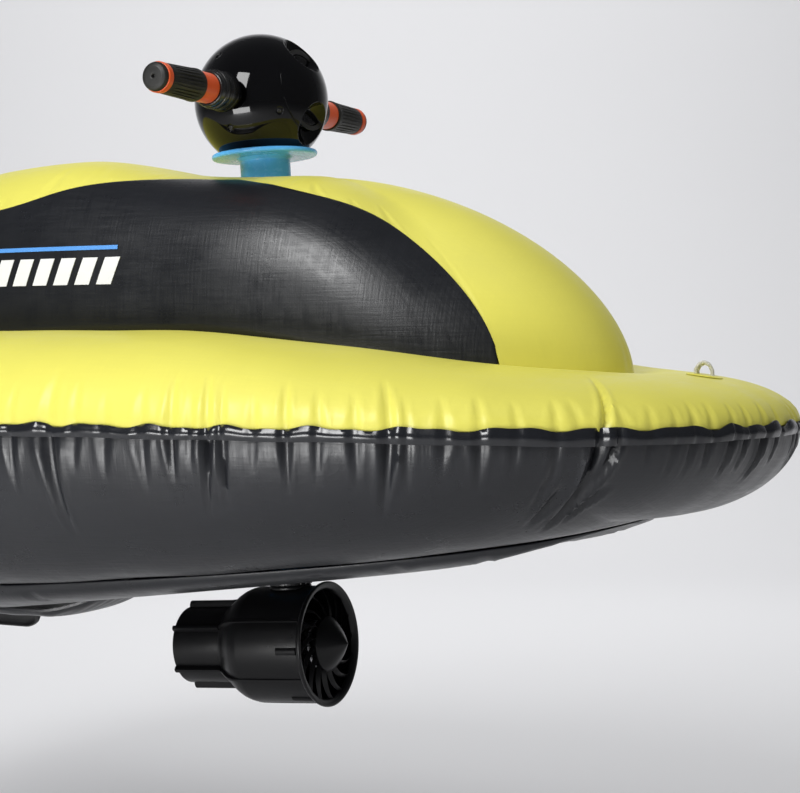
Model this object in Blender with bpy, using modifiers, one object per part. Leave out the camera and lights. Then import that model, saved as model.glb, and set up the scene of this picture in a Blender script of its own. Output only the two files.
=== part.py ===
"""Inflatable electric water scooter: air hull with a centre pod, and a raked steering column that turns the
control head above the deck and the thruster under the hull.

Frame: origin where the steering axis crosses the hull's welded seam, +X to the bow, +Y to port, +Z up.
All lengths are in metres.
"""
import math

import bmesh
import bpy
from mathutils import Matrix, Vector

# ---------------------------------------------------------------- driving dimensions
GAP = 0.0003                  # between pieces that touch
RUN = 0.0003                  # radial running clearance of what turns or slides
SHEET = 0.0009                # coated fabric of the hull
SHEET_GAP = 0.0024            # between neighbouring sheets where they are welded
REACH = 0.12                  # how far a shaping body reaches past what it cuts

# air hull
BOW_X, STERN_X, BEAM_X = 0.655, -0.780, 0.02      # seam outline: ends, and the station of the full beam
HALF_BEAM = 0.415
BOW_FULLNESS, STERN_FULLNESS = 2.35, 3.0
TUBE_RISE, TUBE_RISE_BOW = 0.109, 0.057           # crest of the upper sheet above the seam
TUBE_DROP_BOW, TUBE_DROP_STERN = 0.106, 0.197     # lowest line of the lower sheet under the seam
SEAM_WIDTH, SEAM_THICKNESS = 0.013, 0.003
LOOP_POINTS = 44

# centre pod
POD_FRONT_X, POD_BACK_X, POD_BEAM_X, POD_HALF_WIDTH = 0.467, -0.575, -0.05, 0.190
POD_ROOF_FRONT_X, POD_ROOF_BACK_X = 0.06, -0.38   # straight part of the pod's roof line
ROOF_HEIGHT, SEAT_HUMP, SEAT_X = 0.302, 0.031, -0.25
PANEL_TIP_X, PANEL_TOP, PANEL_SLOPE = 0.360, 0.960, 0.75   # dark side panel: its tip, and its top edge

# lower centre chamber, stern pad and skeg
UNDER_FRONT_X, UNDER_BACK_X, UNDER_HALF_WIDTH = 0.430, -0.600, 0.205
KEEL_DROP, KEEL_SLOPE, KEEL_STERN_DROP = 0.206, 0.13, 0.247
KEEL_FULLNESS = 3.0
TUNNEL_RISE, TUNNEL_HALF_WIDTH, TUNNEL_END_X = 0.029, 0.16, -0.31      # hollow over the thruster
PAD_BACK_X, PAD_FRONT_X, PAD_HALF_WIDTH, PAD_THICKNESS = -0.580, -0.215, 0.085, 0.015
PAD_CLEARANCE = 0.0075
SKEG_FRONT_X, SKEG_BACK_X, SKEG_BOTTOM_Z, SKEG_THICKNESS = -0.375, -0.570, -0.292, 0.010
SKEG_CORNER = 0.006

# webs inside the pod
WEB_FORE_X, WEB_AFT_X, WEB_HALF_WIDTH, WEB_BOTTOM_Z, WEB_THICKNESS = -0.115, -0.340, 0.105, -0.115, 0.0012
WEB_TOP_DROP, WEB_HOLE_RADIUS, WEB_HOLE_Z = 0.045, 0.035, 0.090

# steering column, in its own raked frame
RAKE = math.radians(3.9)
SLEEVE_RADIUS, SLEEVE_WALL, SLEEVE_BOTTOM = 0.0321, 0.0030, -0.1930
SLEEVE_NUT_RADIUS, SLEEVE_NUT_HEIGHT = 0.0390, 0.0075
SHAFT_RADIUS, SHAFT_WALL = 0.0170, 0.0025
BUSH_HEIGHT = 0.022
SLEEVE_HOLE_GAP = 0.0012                          # round the sleeve where it passes the hull's skins

# head, standing on the sleeve's top flange
BALL_RADIUS, SHELL_WALL = 0.0851, 0.0030
FLANGE_TOP = ROOF_HEIGHT + 0.0360
FLANGE_THICKNESS, FLANGE_RADIUS = 0.0060, 0.0673
BALL_Z = FLANGE_TOP + BALL_RADIUS * 0.7767        # the ball's lower opening sits on the flange
BASE_RADIUS = BALL_RADIUS * 0.5464
BASE_THICKNESS, BASE_HUB_RADIUS, BASE_HUB_HEIGHT = 0.0030, 0.0215, 0.014
CAP_TILT = math.radians(6.0)
CAP_ANGLE = math.radians(42.0)                    # half angle of the front cap on the ball
CAP_PLUG_RADIUS, CAP_PLUG_LENGTH = BALL_RADIUS * 0.5288, 0.014
GASKET_THICKNESS = 0.0012
SCOOP_RADIUS, SCOOP_ANGLE = BALL_RADIUS * 0.3525, math.radians(33.0)
FACET_SHARE = 0.985                               # a faceted ball's flats lie this far in
BATTERY = (BALL_RADIUS * 0.682, BALL_RADIUS * 0.658, BALL_RADIUS * 0.705)
BOARD = (0.0018, BALL_RADIUS * 0.588, BALL_RADIUS * 0.588)
BOARD_X, CABLE_X, CABLE_RADIUS = -BALL_RADIUS * 0.517, -BALL_RADIUS * 0.417, 0.0030
BOARD_DROP, BATTERY_X, BATTERY_DROP = BALL_RADIUS * 0.235, 0.006, 0.004
SCREW_RECESS_RADIUS, SCREW_RECESS_DEPTH, SCREW_HEAD_RADIUS = 0.0042, 0.0022, 0.0030
BUTTON_TILT = math.radians(-50.0)                 # button axis, leaned back from the column's axis
BUTTON_RADIUS, BUTTON_TRAVEL, BUTTON_PROUD = 0.0120, 0.0025, 0.0040

# handlebar
BAR_X = 0.0043
BAR_RADIUS, BAR_WALL, BAR_INNER_END = 0.0125, 0.0020, BALL_RADIUS * 0.752
BOSS_RADIUS, BOSS_NECK_RADIUS, BOSS_ROOT = 0.0246, 0.0158, BALL_RADIUS * 0.7285
BOSS_RIM_START, BOSS_END = BALL_RADIUS + 0.0114, BALL_RADIUS + 0.0184
COLLAR_RADIUS, COLLAR_END = 0.0240, BOSS_END + 0.0326
COLLAR_STEP, COLLAR_STEP_RADIUS = BOSS_END + 0.0233, 0.0222
RING_RADIUS, WIDE_RING_END = 0.0186, COLLAR_END + 0.0302
GRIP_RADIUS_IN, GRIP_RADIUS_OUT, GRIP_END = 0.0196, 0.0182, WIDE_RING_END + 0.0702
END_RING_END = GRIP_END + 0.0098
END_CAP_END, END_CAP_RADIUS = END_RING_END + 0.0083, 0.0172

# thruster, its axis square to the column
CASE_RADIUS, CASE_WALL, CASE_FRONT, CASE_BACK, CASE_SHOULDER = 0.0737, 0.0030, 0.0450, -0.0450, -0.0820
NOZZLE_RADIUS, NOZZLE_WALL, NOZZLE_END = 0.0492, 0.0028, -0.1525
THRUST_Z = -0.2147 - CASE_RADIUS                   # the case's top stays under the collar
RIB_COUNT, RIB_HEIGHT, RIB_WIDTH = 6, 0.0080, 0.0060
CASE_RIB_HEIGHT = 0.0018
GUARD_RADIUS, GUARD_INNER, GUARD_FRONT = CASE_RADIUS + 0.0052, CASE_RADIUS - 0.0054, 0.0520
CONE_RADIUS, CONE_TIP = 0.0345, 0.0777
VANE_COUNT, VANE_SWEEP, VANE_THICKNESS, VANE_DEPTH = 16, math.radians(24.0), 0.0016, 0.0070
MOTOR_RADIUS, MOTOR_FRONT, MOTOR_BACK = 0.0300, 0.0390, -0.0360
MOTOR_SHAFT_RADIUS = 0.0040
PROP_FRONT, PROP_BACK, PROP_HUB_RADIUS, PROP_TIP_RADIUS = -0.0900, -0.1160, 0.0130, 0.0440
NECK_RADIUS, NECK_TOP = 0.0240, -0.1990
STRUT_RADIUS, STRUT_BOTTOM, STRUT_TOP = 0.0274, -0.2125, -0.2000

# valves and tow loop
VALVE_Y, VALVE_X = 0.085, -0.658
VALVE_FLANGE_RADIUS, VALVE_NECK_RADIUS, VALVE_BORE = 0.0180, 0.0105, 0.0070
VALVE_NECK_HEIGHT, VALVE_FLANGE, VALVE_STEM = 0.0090, 0.0018, 0.0160
VALVE_CAP_HEIGHT, VALVE_HINGE_REACH = 0.0040, 0.0030
TOW_X, TOW_LOOP_RADIUS, TOW_CORD_RADIUS, TOW_PATCH_RADIUS = 0.560, 0.0120, 0.0022, 0.0210
TOW_PATCH_HEIGHT = 0.0016

YELLOW, BLACK_SHEET = (0.80, 0.72, 0.08), (0.012, 0.013, 0.016)
BLACK_PLASTIC, ORANGE, BLUE = (0.010, 0.010, 0.012), (0.72, 0.13, 0.03), (0.16, 0.48, 0.85)
RUBBER_BLACK, STEEL, CLEAR = (0.020, 0.020, 0.022), (0.62, 0.62, 0.64), (0.8, 0.8, 0.8)
BOARD_GREEN, BATTERY_GREY = (0.02, 0.16, 0.06), (0.10, 0.10, 0.12)


# ---------------------------------------------------------------- scene helpers
def clear_scene():
    for old in list(bpy.data.objects):
        bpy.data.objects.remove(old, do_unlink=True)


def collection(name):
    made = bpy.data.collections.new(name)
    bpy.context.scene.collection.children.link(made)
    return made


def finish_material(name, colour, roughness, metallic=0.0):
    made = bpy.data.materials.new(name)
    made.use_nodes = True
    shader = made.node_tree.nodes["Principled BSDF"]
    shader.inputs["Base Color"].default_value = (*colour, 1.0)
    shader.inputs["Roughness"].default_value = roughness
    shader.inputs["Metallic"].default_value = metallic
    made.diffuse_color = (*colour, 1.0)
    return made


def place(made, parent=None, location=(0, 0, 0), rotation=(0, 0, 0)):
    made.parent = parent
    made.location = location
    made.rotation_euler = rotation
    return made


def piece(name, mesh, colour=None, roughness=0.4, metallic=0.0):
    """A sub-part in the model's collection, or a shaping body if it has no colour."""
    made = bpy.data.objects.new(name, mesh)
    if colour is None:
        shaping.objects.link(made)
        made.hide_render = True
        made.display_type = "WIRE"
        return made
    mesh.materials.append(finish_material(name, colour, roughness, metallic))
    model.objects.link(made)
    return made


def mesh_from(build, smooth=True):
    grid = bmesh.new()
    build(grid)
    mesh = bpy.data.meshes.new("mesh")
    grid.to_mesh(mesh)
    grid.free()
    if smooth:
        mesh.shade_smooth()
        mesh.set_sharp_from_angle(angle=math.radians(35))
    return mesh


def box_mesh(low, high):
    centre = (Vector(low) + Vector(high)) / 2
    size = Vector(high) - Vector(low)

    def build(grid):
        placed = Matrix.Translation(centre) @ Matrix.Diagonal((*size, 1.0))
        bmesh.ops.create_cube(grid, size=1.0, matrix=placed)
    return mesh_from(build, smooth=False)


def cylinder_mesh(radius, low, high, sides=28):
    def build(grid):
        bmesh.ops.create_cone(grid, cap_ends=True, segments=sides, radius1=radius, radius2=radius,
                              depth=high - low, matrix=Matrix.Translation((0, 0, (low + high) / 2)))
    return mesh_from(build)


def ball_mesh(radius, segments=32, rings=16):
    def build(grid):
        bmesh.ops.create_uvsphere(grid, u_segments=segments, v_segments=rings, radius=radius)
    return mesh_from(build)


def turned_mesh(profile, closed=True):
    """Profile (radius, height) in the XZ plane: down the outer side, then back up the inner side."""
    def build(grid):
        points = [grid.verts.new((radius, 0, height)) for radius, height in profile]
        for start, end in zip(points, points[1:]):
            grid.edges.new((start, end))
        if closed:
            grid.edges.new((points[-1], points[0]))
    return mesh_from(build, smooth=False)


def turn(made, steps):
    screw = made.modifiers.new("turn", "SCREW")
    screw.angle = 2 * math.pi
    screw.screw_offset = 0
    screw.steps = screw.render_steps = steps
    screw.use_merge_vertices = True
    screw.merge_threshold = 0.00001
    screw.use_smooth_shade = True
    return made


def turned(name, profile, colour=None, roughness=0.4, metallic=0.0, steps=28, closed=True):
    return turn(piece(name, turned_mesh(profile, closed), colour, roughness, metallic), steps)


def shape(target, tool, operation="DIFFERENCE"):
    step = target.modifiers.new(tool.name, "BOOLEAN")
    step.operation = operation
    step.object = tool
    step.solver = "EXACT"


def ring_profile(outer, inner, high, low):
    return [(outer, high), (outer, low), (inner, low), (inner, high)]


# ---------------------------------------------------------------- hull surfaces
def smooth_step(value):
    value = min(max(value, 0.0), 1.0)
    return value * value * (3 - 2 * value)


def power(value, exponent):
    return math.copysign(abs(value) ** exponent, value)


def outline(angle, front, back, middle, half_width, front_fullness, back_fullness):
    """A point of a closed plan outline, a superellipse quarter by quarter. Angle 0 is the bow."""
    ahead = math.cos(angle) > 0
    reach = front - middle if ahead else middle - back
    exponent = 2 / (front_fullness if ahead else back_fullness)
    return Vector((middle + reach * power(math.cos(angle), exponent),
                   half_width * power(math.sin(angle), exponent), 0.0))


def seam_point(angle, outset=0.0):
    return outline(angle, BOW_X + outset, STERN_X - outset, BEAM_X, HALF_BEAM + outset,
                   BOW_FULLNESS, STERN_FULLNESS)


def pod_foot(angle):
    return outline(angle, POD_FRONT_X, POD_BACK_X, POD_BEAM_X, POD_HALF_WIDTH, 2.3, 2.6)


def under_edge(angle):
    return outline(angle, UNDER_FRONT_X, UNDER_BACK_X, BEAM_X, UNDER_HALF_WIDTH, 2.2, 2.6)


def tube_crest(x):
    ahead = min(max((x + 0.05) / 0.65, 0.0), 1.0)
    return TUBE_RISE - (TUBE_RISE - TUBE_RISE_BOW) * math.sin(ahead * math.pi / 2) ** 2


def tube_depth(x):
    aft = min(max((0.5 - x) / 0.74, 0.0), 1.0)
    return TUBE_DROP_BOW + (TUBE_DROP_STERN - TUBE_DROP_BOW) * aft ** 0.7


TUBE_SWEEP = math.radians(118)
KEEL_WELD_SWEEP, KEEL_WELD_GAP = math.radians(96), 0.0030


def first_turn(angle, height):
    """Where a sheet starts over or under the seam flange."""
    lift = SEAM_THICKNESS / 2 + GAP + SHEET / 2
    return math.asin(lift / abs(height(seam_point(angle).x)))


def tube_point(angle, turn_angle, inner, height, gap_share):
    """From the seam (turn 0) over the tube's crest (90 degrees) to the inner line."""
    share = (1 - math.cos(turn_angle)) / (1 - math.cos(TUBE_SWEEP)) * (1 - gap_share)
    spot = seam_point(angle).lerp(inner(angle), share)
    spot.z = height(spot.x) * math.sin(turn_angle)
    return spot


def roof_height(x):
    spread = 0.13 if x > SEAT_X else 0.30
    return ROOF_HEIGHT + SEAT_HUMP * math.exp(-((x - SEAT_X) / spread) ** 2)


def pod_fullness(angle):
    ahead = smooth_step((math.cos(angle) - 0.05) / 0.7)
    behind = smooth_step((-math.cos(angle) - 0.2) / 0.8)
    return 3.3 - 1.55 * ahead - 1.1 * behind


def pod_point(angle, rise):
    """The pod's surface: rise 0 is its foot on the tube, 90 degrees its roof line."""
    foot = pod_foot(angle)
    roof_x = min(max(foot.x, POD_ROOF_BACK_X), POD_ROOF_FRONT_X)
    exponent = 2 / pod_fullness(angle)
    across = math.cos(rise) ** exponent if math.cos(rise) > 1e-9 else 0.0
    up = math.sin(rise) ** exponent if math.sin(rise) > 1e-9 else 0.0
    spot = Vector((roof_x, 0, 0)).lerp(foot, across)
    foot_height = tube_crest(foot.x) * math.sin(TUBE_SWEEP)
    spot.z = foot_height + (roof_height(roof_x) - foot_height) * up
    return spot


def panel_rise(angle):
    """Where the dark side panel ends below the roof, as the rise angle. 0 where there is no panel."""
    x = pod_foot(angle).x
    height = PANEL_TOP
    if x > 0:
        height = (height - PANEL_SLOPE * x) * (1 - min(x / PANEL_TIP_X, 1.0) ** 8) ** 0.6
    height *= 1 - 0.26 * smooth_step((-0.05 - x) / 0.30)
    height *= 1 - min(max((-0.36 - x) / 0.20, 0.0), 1.0) ** 2
    rise = math.asin(min(height, 1.0) ** (pod_fullness(angle) / 2))
    return rise if rise > 0.12 else 0.0


def keel_depth(x, y):
    depth = KEEL_DROP - KEEL_SLOPE * x
    depth = min(depth, KEEL_STERN_DROP)
    tunnel = max(1 - (y / TUNNEL_HALF_WIDTH) ** 2, 0.0)
    return depth - TUNNEL_RISE * tunnel * smooth_step((x - TUNNEL_END_X) / 0.15)


def keel_point(angle, rise):
    """The lower chamber's surface: rise 0 is where it is welded under the ring tube."""
    edge = tube_point(angle, KEEL_WELD_SWEEP, under_edge, tube_depth, 0)
    middle_x = min(max(edge.x, -0.44), 0.30)
    across = math.cos(rise) ** (2 / KEEL_FULLNESS) if math.cos(rise) > 1e-9 else 0.0
    up = math.sin(rise) ** (2 / KEEL_FULLNESS)
    spot = Vector((middle_x, 0, 0)).lerp(edge, across)
    edge_depth = edge.z + KEEL_WELD_GAP
    spot.z = 0
    spot.z = -edge_depth - (keel_depth(spot.x, spot.y) - edge_depth) * up
    return spot


def loft(grid, rows, closed=True):
    """Quads between rows of points; points that coincide are merged."""
    made = [[grid.verts.new(point) for point in row] for row in rows]
    count = len(rows[0])
    for lower, upper in zip(made, made[1:]):
        for index in range(count if closed else count - 1):
            after = (index + 1) % count
            grid.faces.new((lower[index], lower[after], upper[after], upper[index]))
    bmesh.ops.remove_doubles(grid, verts=grid.verts, dist=0.00002)
    bmesh.ops.dissolve_degenerate(grid, edges=grid.edges, dist=0.00002)


def sheet(name, rows, colour, outward, closed=True):
    """A fabric skin: an open surface with its thickness laid to the inside."""
    def build(grid):
        loft(grid, rows, closed)
        facing = sum(face.normal.dot(outward(face.calc_center_median())) * face.calc_area()
                     for face in grid.faces)
        if facing < 0:
            bmesh.ops.reverse_faces(grid, faces=grid.faces)
    made = piece(name, mesh_from(build), colour, 0.35)
    wall = made.modifiers.new("fabric", "SOLIDIFY")
    wall.thickness = SHEET
    wall.offset = -1
    return made


def around():
    return [2 * math.pi * index / LOOP_POINTS for index in range(LOOP_POINTS)]


def turns(first, last, count):
    return [first + (last - first) * index / count for index in range(count + 1)]


def make_hull():

    def sheet_rows(inner, height):
        return [[tube_point(angle, start + (TUBE_SWEEP - start) * share, inner, height, 0.004)
                 for angle in around() for start in [first_turn(angle, height)]] for share in turns(0, 1, 6)]
    upper = sheet_rows(pod_foot, tube_crest)
    tube = sheet("tube_top_sheet", upper, YELLOW, lambda spot: Vector((0, 0, 1)))
    lower = [[Vector((spot.x, spot.y, -spot.z)) for spot in row]
             for row in sheet_rows(under_edge, tube_depth)]
    sheet("hull_bottom_sheet", lower, BLACK_SHEET, lambda spot: Vector((0, 0, -1)))
    keel_rows = [[keel_point(angle, rise) for angle in around()] for rise in turns(0.01, math.pi / 2, 5)]
    keel = sheet("keel_sheet", keel_rows, BLACK_SHEET, lambda spot: Vector((0, 0, -1)))

    half = SEAM_THICKNESS / 2
    section = [(SEAM_WIDTH, half), (SEAM_WIDTH, -half), (-0.004, -half), (-0.004, half)]

    def seam(grid):
        rows = [[seam_point(angle, out) + Vector((0, 0, z)) for angle in around()]
                for out, z in section + section[:1]]
        loft(grid, rows)
        bmesh.ops.recalc_face_normals(grid, faces=grid.faces)
    piece("seam_flange", mesh_from(seam), BLACK_SHEET, 0.25)
    return tube, keel


def make_pod():
    step = SHEET_GAP / 2 / 0.20                   # half the gap, as an angle of rise
    full = math.pi / 2
    rows = [[pod_point(angle, start + (full - start) * share) for angle in around()
             for start in [panel_rise(angle) + step]] for share in turns(0, 1, 6)]
    roof = sheet("pod_top_panel", rows, YELLOW, lambda spot: spot - Vector((-0.13, 0, 0.05)))
    sides = {"port": 1, "starboard": -1}
    for side, sign in sides.items():
        angles = [angle for angle in around() if math.sin(angle) > 0.001 and panel_rise(angle) > 0]
        step_angle = 2 * math.pi / LOOP_POINTS
        angles = [angles[0] - step_angle] + angles + [angles[-1] + step_angle]
        rows = []
        for share in turns(0, 1, 5):
            row = []
            for angle in angles:
                top = max(panel_rise(angle) - step, 0.0)
                spot = pod_point(angle, top * share)
                row.append(Vector((spot.x, sign * spot.y, spot.z)))
            rows.append(row)
        sheet("pod_side_panel_" + side, rows, BLACK_SHEET, lambda spot: Vector((0, sign, 0)), closed=False)
    return roof


def make_webs():
    """Two welded webs that hold the pod's roof down, each with a round air passage."""
    for name, x in (("pod_web_fore", WEB_FORE_X), ("pod_web_aft", WEB_AFT_X)):
        low, high = (x, -WEB_HALF_WIDTH, WEB_BOTTOM_Z), (x + WEB_THICKNESS, WEB_HALF_WIDTH,
                                                         roof_height(x) - WEB_TOP_DROP)
        web = piece(name, box_mesh(low, high), BLACK_SHEET, 0.5)
        hole = place(piece(name + "_hole", cylinder_mesh(WEB_HOLE_RADIUS, -0.02, 0.02, 20)),
                     location=(x, 0, WEB_HOLE_Z), rotation=(0, math.pi / 2, 0))
        shape(web, hole)


def make_stern_pad_and_skeg():
    middle_x, reach = (PAD_FRONT_X + PAD_BACK_X) / 2, (PAD_FRONT_X - PAD_BACK_X) / 2

    def pad_point(share, angle, below):
        x = middle_x + reach * share * power(math.cos(angle), 0.8)
        y = PAD_HALF_WIDTH * share * power(math.sin(angle), 0.8)
        swell = PAD_THICKNESS * (0.25 + 0.75 * math.sqrt(max(1 - share ** 2.5, 0.0)))
        return Vector((x, y, -keel_depth(x, y) - PAD_CLEARANCE - (swell if below else 0)))

    def build(grid):
        angles = [2 * math.pi * index / 28 for index in range(28)]
        shares = (0.0, 0.35, 0.65, 0.86, 1.0)
        rows = [[pad_point(share, angle, True) for angle in angles] for share in shares]
        rows += [[pad_point(share, angle, False) for angle in angles] for share in reversed(shares)]
        loft(grid, rows)
        bmesh.ops.recalc_face_normals(grid, faces=grid.faces)
    piece("stern_pad", mesh_from(build), BLACK_SHEET, 0.3)

    top = -KEEL_STERN_DROP - PAD_CLEARANCE - PAD_THICKNESS - GAP - 0.0006
    curve = bpy.data.curves.new("skeg_outline", "CURVE")
    curve.dimensions = "2D"
    curve.fill_mode = "BOTH"
    curve.extrude = SKEG_THICKNESS / 2
    side = curve.splines.new("POLY")
    corner = SKEG_CORNER
    points = [(SKEG_FRONT_X, top), (SKEG_BACK_X, top), (SKEG_BACK_X - 0.01, SKEG_BOTTOM_Z)]
    for index in range(6):
        swing = math.pi / 2 * index / 5
        points.append((SKEG_FRONT_X - 2 * corner + corner * math.sin(swing),
                       SKEG_BOTTOM_Z + corner - corner * math.cos(swing)))
    side.points.add(len(points) - 1)
    for point, (x, z) in zip(side.points, points):
        point.co = (x, z, 0, 1)
    side.use_cyclic_u = True
    skeg = bpy.data.objects.new("skeg_fin", curve)
    curve.materials.append(finish_material("skeg_fin", RUBBER_BLACK, 0.5))
    model.objects.link(skeg)
    place(skeg, rotation=(math.pi / 2, 0, 0))


def make_tow_loop():
    height = tube_crest(TOW_X) + 0.0008
    patch = turned("tow_patch",
                   [(0, height + TOW_PATCH_HEIGHT), (TOW_PATCH_RADIUS - 0.002, height + TOW_PATCH_HEIGHT),
                    (TOW_PATCH_RADIUS, height + TOW_PATCH_HEIGHT / 2), (TOW_PATCH_RADIUS, height),
                    (0, height)],
                   YELLOW, 0.35, steps=20, closed=False)
    place(patch, location=(TOW_X, 0, 0))
    curve = bpy.data.curves.new("tow_loop", "CURVE")
    curve.dimensions = "3D"
    curve.bevel_depth = TOW_CORD_RADIUS
    curve.bevel_resolution = 2
    curve.use_fill_caps = True
    strand = curve.splines.new("POLY")
    count = 17
    strand.points.add(count - 1)
    for index, point in enumerate(strand.points):
        swing = math.pi * index / (count - 1)
        point.co = (TOW_LOOP_RADIUS * math.cos(swing), 0, TOW_LOOP_RADIUS * math.sin(swing), 1)
    loop = bpy.data.objects.new("tow_loop", curve)
    curve.materials.append(finish_material("tow_loop", CLEAR, 0.2))
    model.objects.link(loop)
    place(loop, location=(TOW_X, 0, height + TOW_PATCH_HEIGHT + GAP + 0.0002))


def make_valves(tube):
    for side, sign in (("port", 1), ("starboard", -1)):
        seat = TUBE_RISE + 0.0006
        top = seat + VALVE_NECK_HEIGHT
        body = turned("valve_body_" + side,
                      [(VALVE_NECK_RADIUS, top), (VALVE_NECK_RADIUS, seat + VALVE_FLANGE),
                       (VALVE_FLANGE_RADIUS - 0.001, seat + VALVE_FLANGE),
                       (VALVE_FLANGE_RADIUS, seat + 0.0008), (VALVE_FLANGE_RADIUS, seat),
                       (VALVE_NECK_RADIUS, seat), (VALVE_NECK_RADIUS, seat - VALVE_STEM),
                       (VALVE_BORE, seat - VALVE_STEM), (VALVE_BORE, top)], BLACK_PLASTIC, 0.35, steps=18)
        place(body, location=(VALVE_X, sign * VALVE_Y, 0))
        hole = place(piece("valve_hole_" + side, cylinder_mesh(VALVE_NECK_RADIUS + 0.0010, 0, 0.2, 18)),
                     location=(VALVE_X, sign * VALVE_Y, 0))
        shape(tube, hole)
        hinge = bpy.data.objects.new("valve_hinge_" + side, None)
        shaping.objects.link(hinge)
        hinge_x = VALVE_X + VALVE_NECK_RADIUS + VALVE_HINGE_REACH
        place(hinge, location=(hinge_x, sign * VALVE_Y, top + 0.0020))
        cap = turned("valve_cap_" + side,
                     [(0, VALVE_CAP_HEIGHT), (VALVE_NECK_RADIUS - 0.0005, VALVE_CAP_HEIGHT),
                      (VALVE_NECK_RADIUS + 0.0008, VALVE_CAP_HEIGHT - 0.0012),
                      (VALVE_NECK_RADIUS + 0.0008, GAP), (VALVE_BORE - 0.0015, GAP),
                      (VALVE_BORE - 0.0018, -0.0022), (0, -0.0022)],
                     BLACK_PLASTIC, 0.35, steps=18, closed=False)
        place(cap, hinge, location=(VALVE_X - hinge_x, 0, -0.0020))
        tab_end = VALVE_NECK_RADIUS + VALVE_HINGE_REACH + 0.0012
        tab_mesh = box_mesh((0.0, -0.003, GAP), (tab_end, 0.003, VALVE_CAP_HEIGHT - 0.0012))
        tab = place(piece("valve_tab_" + side, tab_mesh), hinge, location=(VALVE_X - hinge_x, 0, -0.0020))
        shape(cap, tab, "UNION")


# ---------------------------------------------------------------- column and head
def make_column(keel, roof):
    hole = place(piece("sleeve_hole", cylinder_mesh(SLEEVE_RADIUS + SLEEVE_HOLE_GAP, -0.4, 0.4)), column)
    shape(keel, hole)
    shape(roof, hole)
    inner = SLEEVE_RADIUS - SLEEVE_WALL
    under = FLANGE_TOP - FLANGE_THICKNESS
    profile = [(FLANGE_RADIUS - 0.0012, FLANGE_TOP), (FLANGE_RADIUS, FLANGE_TOP - 0.0012),
               (FLANGE_RADIUS, under + 0.0012), (FLANGE_RADIUS - 0.0012, under),
               (SLEEVE_RADIUS + 0.003, under),
               (SLEEVE_RADIUS, under - 0.003), (SLEEVE_RADIUS, SLEEVE_BOTTOM), (inner, SLEEVE_BOTTOM),
               (inner, FLANGE_TOP)]
    place(turned("column_sleeve", profile, BLUE, 0.3, steps=36), column)
    nut_top = SLEEVE_BOTTOM + SLEEVE_NUT_HEIGHT
    nut = turned("sleeve_nut", ring_profile(SLEEVE_NUT_RADIUS, SLEEVE_RADIUS + GAP, nut_top, SLEEVE_BOTTOM),
                 BLACK_PLASTIC, 0.4, steps=24)
    place(nut, column)
    bushes = {"upper_bush": FLANGE_TOP - 0.003 - BUSH_HEIGHT, "lower_bush": SLEEVE_BOTTOM + 0.004}
    for name, low in bushes.items():
        bush = turned(name, ring_profile(inner - GAP, SHAFT_RADIUS + RUN, low + BUSH_HEIGHT, low),
                      RUBBER_BLACK, 0.5, steps=20)
        place(bush, column)
    shaft_top = FLANGE_TOP + BASE_HUB_HEIGHT - 0.001
    shaft_low = THRUST_Z + CASE_RADIUS + 0.0045
    profile = ring_profile(SHAFT_RADIUS, SHAFT_RADIUS - SHAFT_WALL, shaft_top, shaft_low)
    shaft = turned("steering_shaft", profile, STEEL, 0.3, 1.0, steps=20)
    place(shaft, steering)


def make_head_base():
    """Plate in the ball's lower opening, clamped on the steering shaft."""
    low = FLANGE_TOP + 2 * GAP
    bore = SHAFT_RADIUS + GAP
    profile = [(BASE_HUB_RADIUS, low + BASE_HUB_HEIGHT), (BASE_HUB_RADIUS, low + BASE_THICKNESS),
               (BASE_RADIUS, low + BASE_THICKNESS), (BASE_RADIUS, low), (bore, low),
               (bore, low + BASE_HUB_HEIGHT)]
    place(turned("head_base", profile, BLACK_PLASTIC, 0.4), steering)


def scoops(parent, radius, name):
    """Two finger scoops, above and below the cap's grip bar."""
    made = []
    for side, sign in (("upper", 1), ("lower", -1)):
        reach = BALL_RADIUS * 1.06
        centre = (-sign * reach * math.sin(SCOOP_ANGLE), 0, reach * math.cos(SCOOP_ANGLE))
        made.append(place(piece(name + "_" + side, ball_mesh(radius, 18, 10)), parent, centre))
    return made


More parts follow.
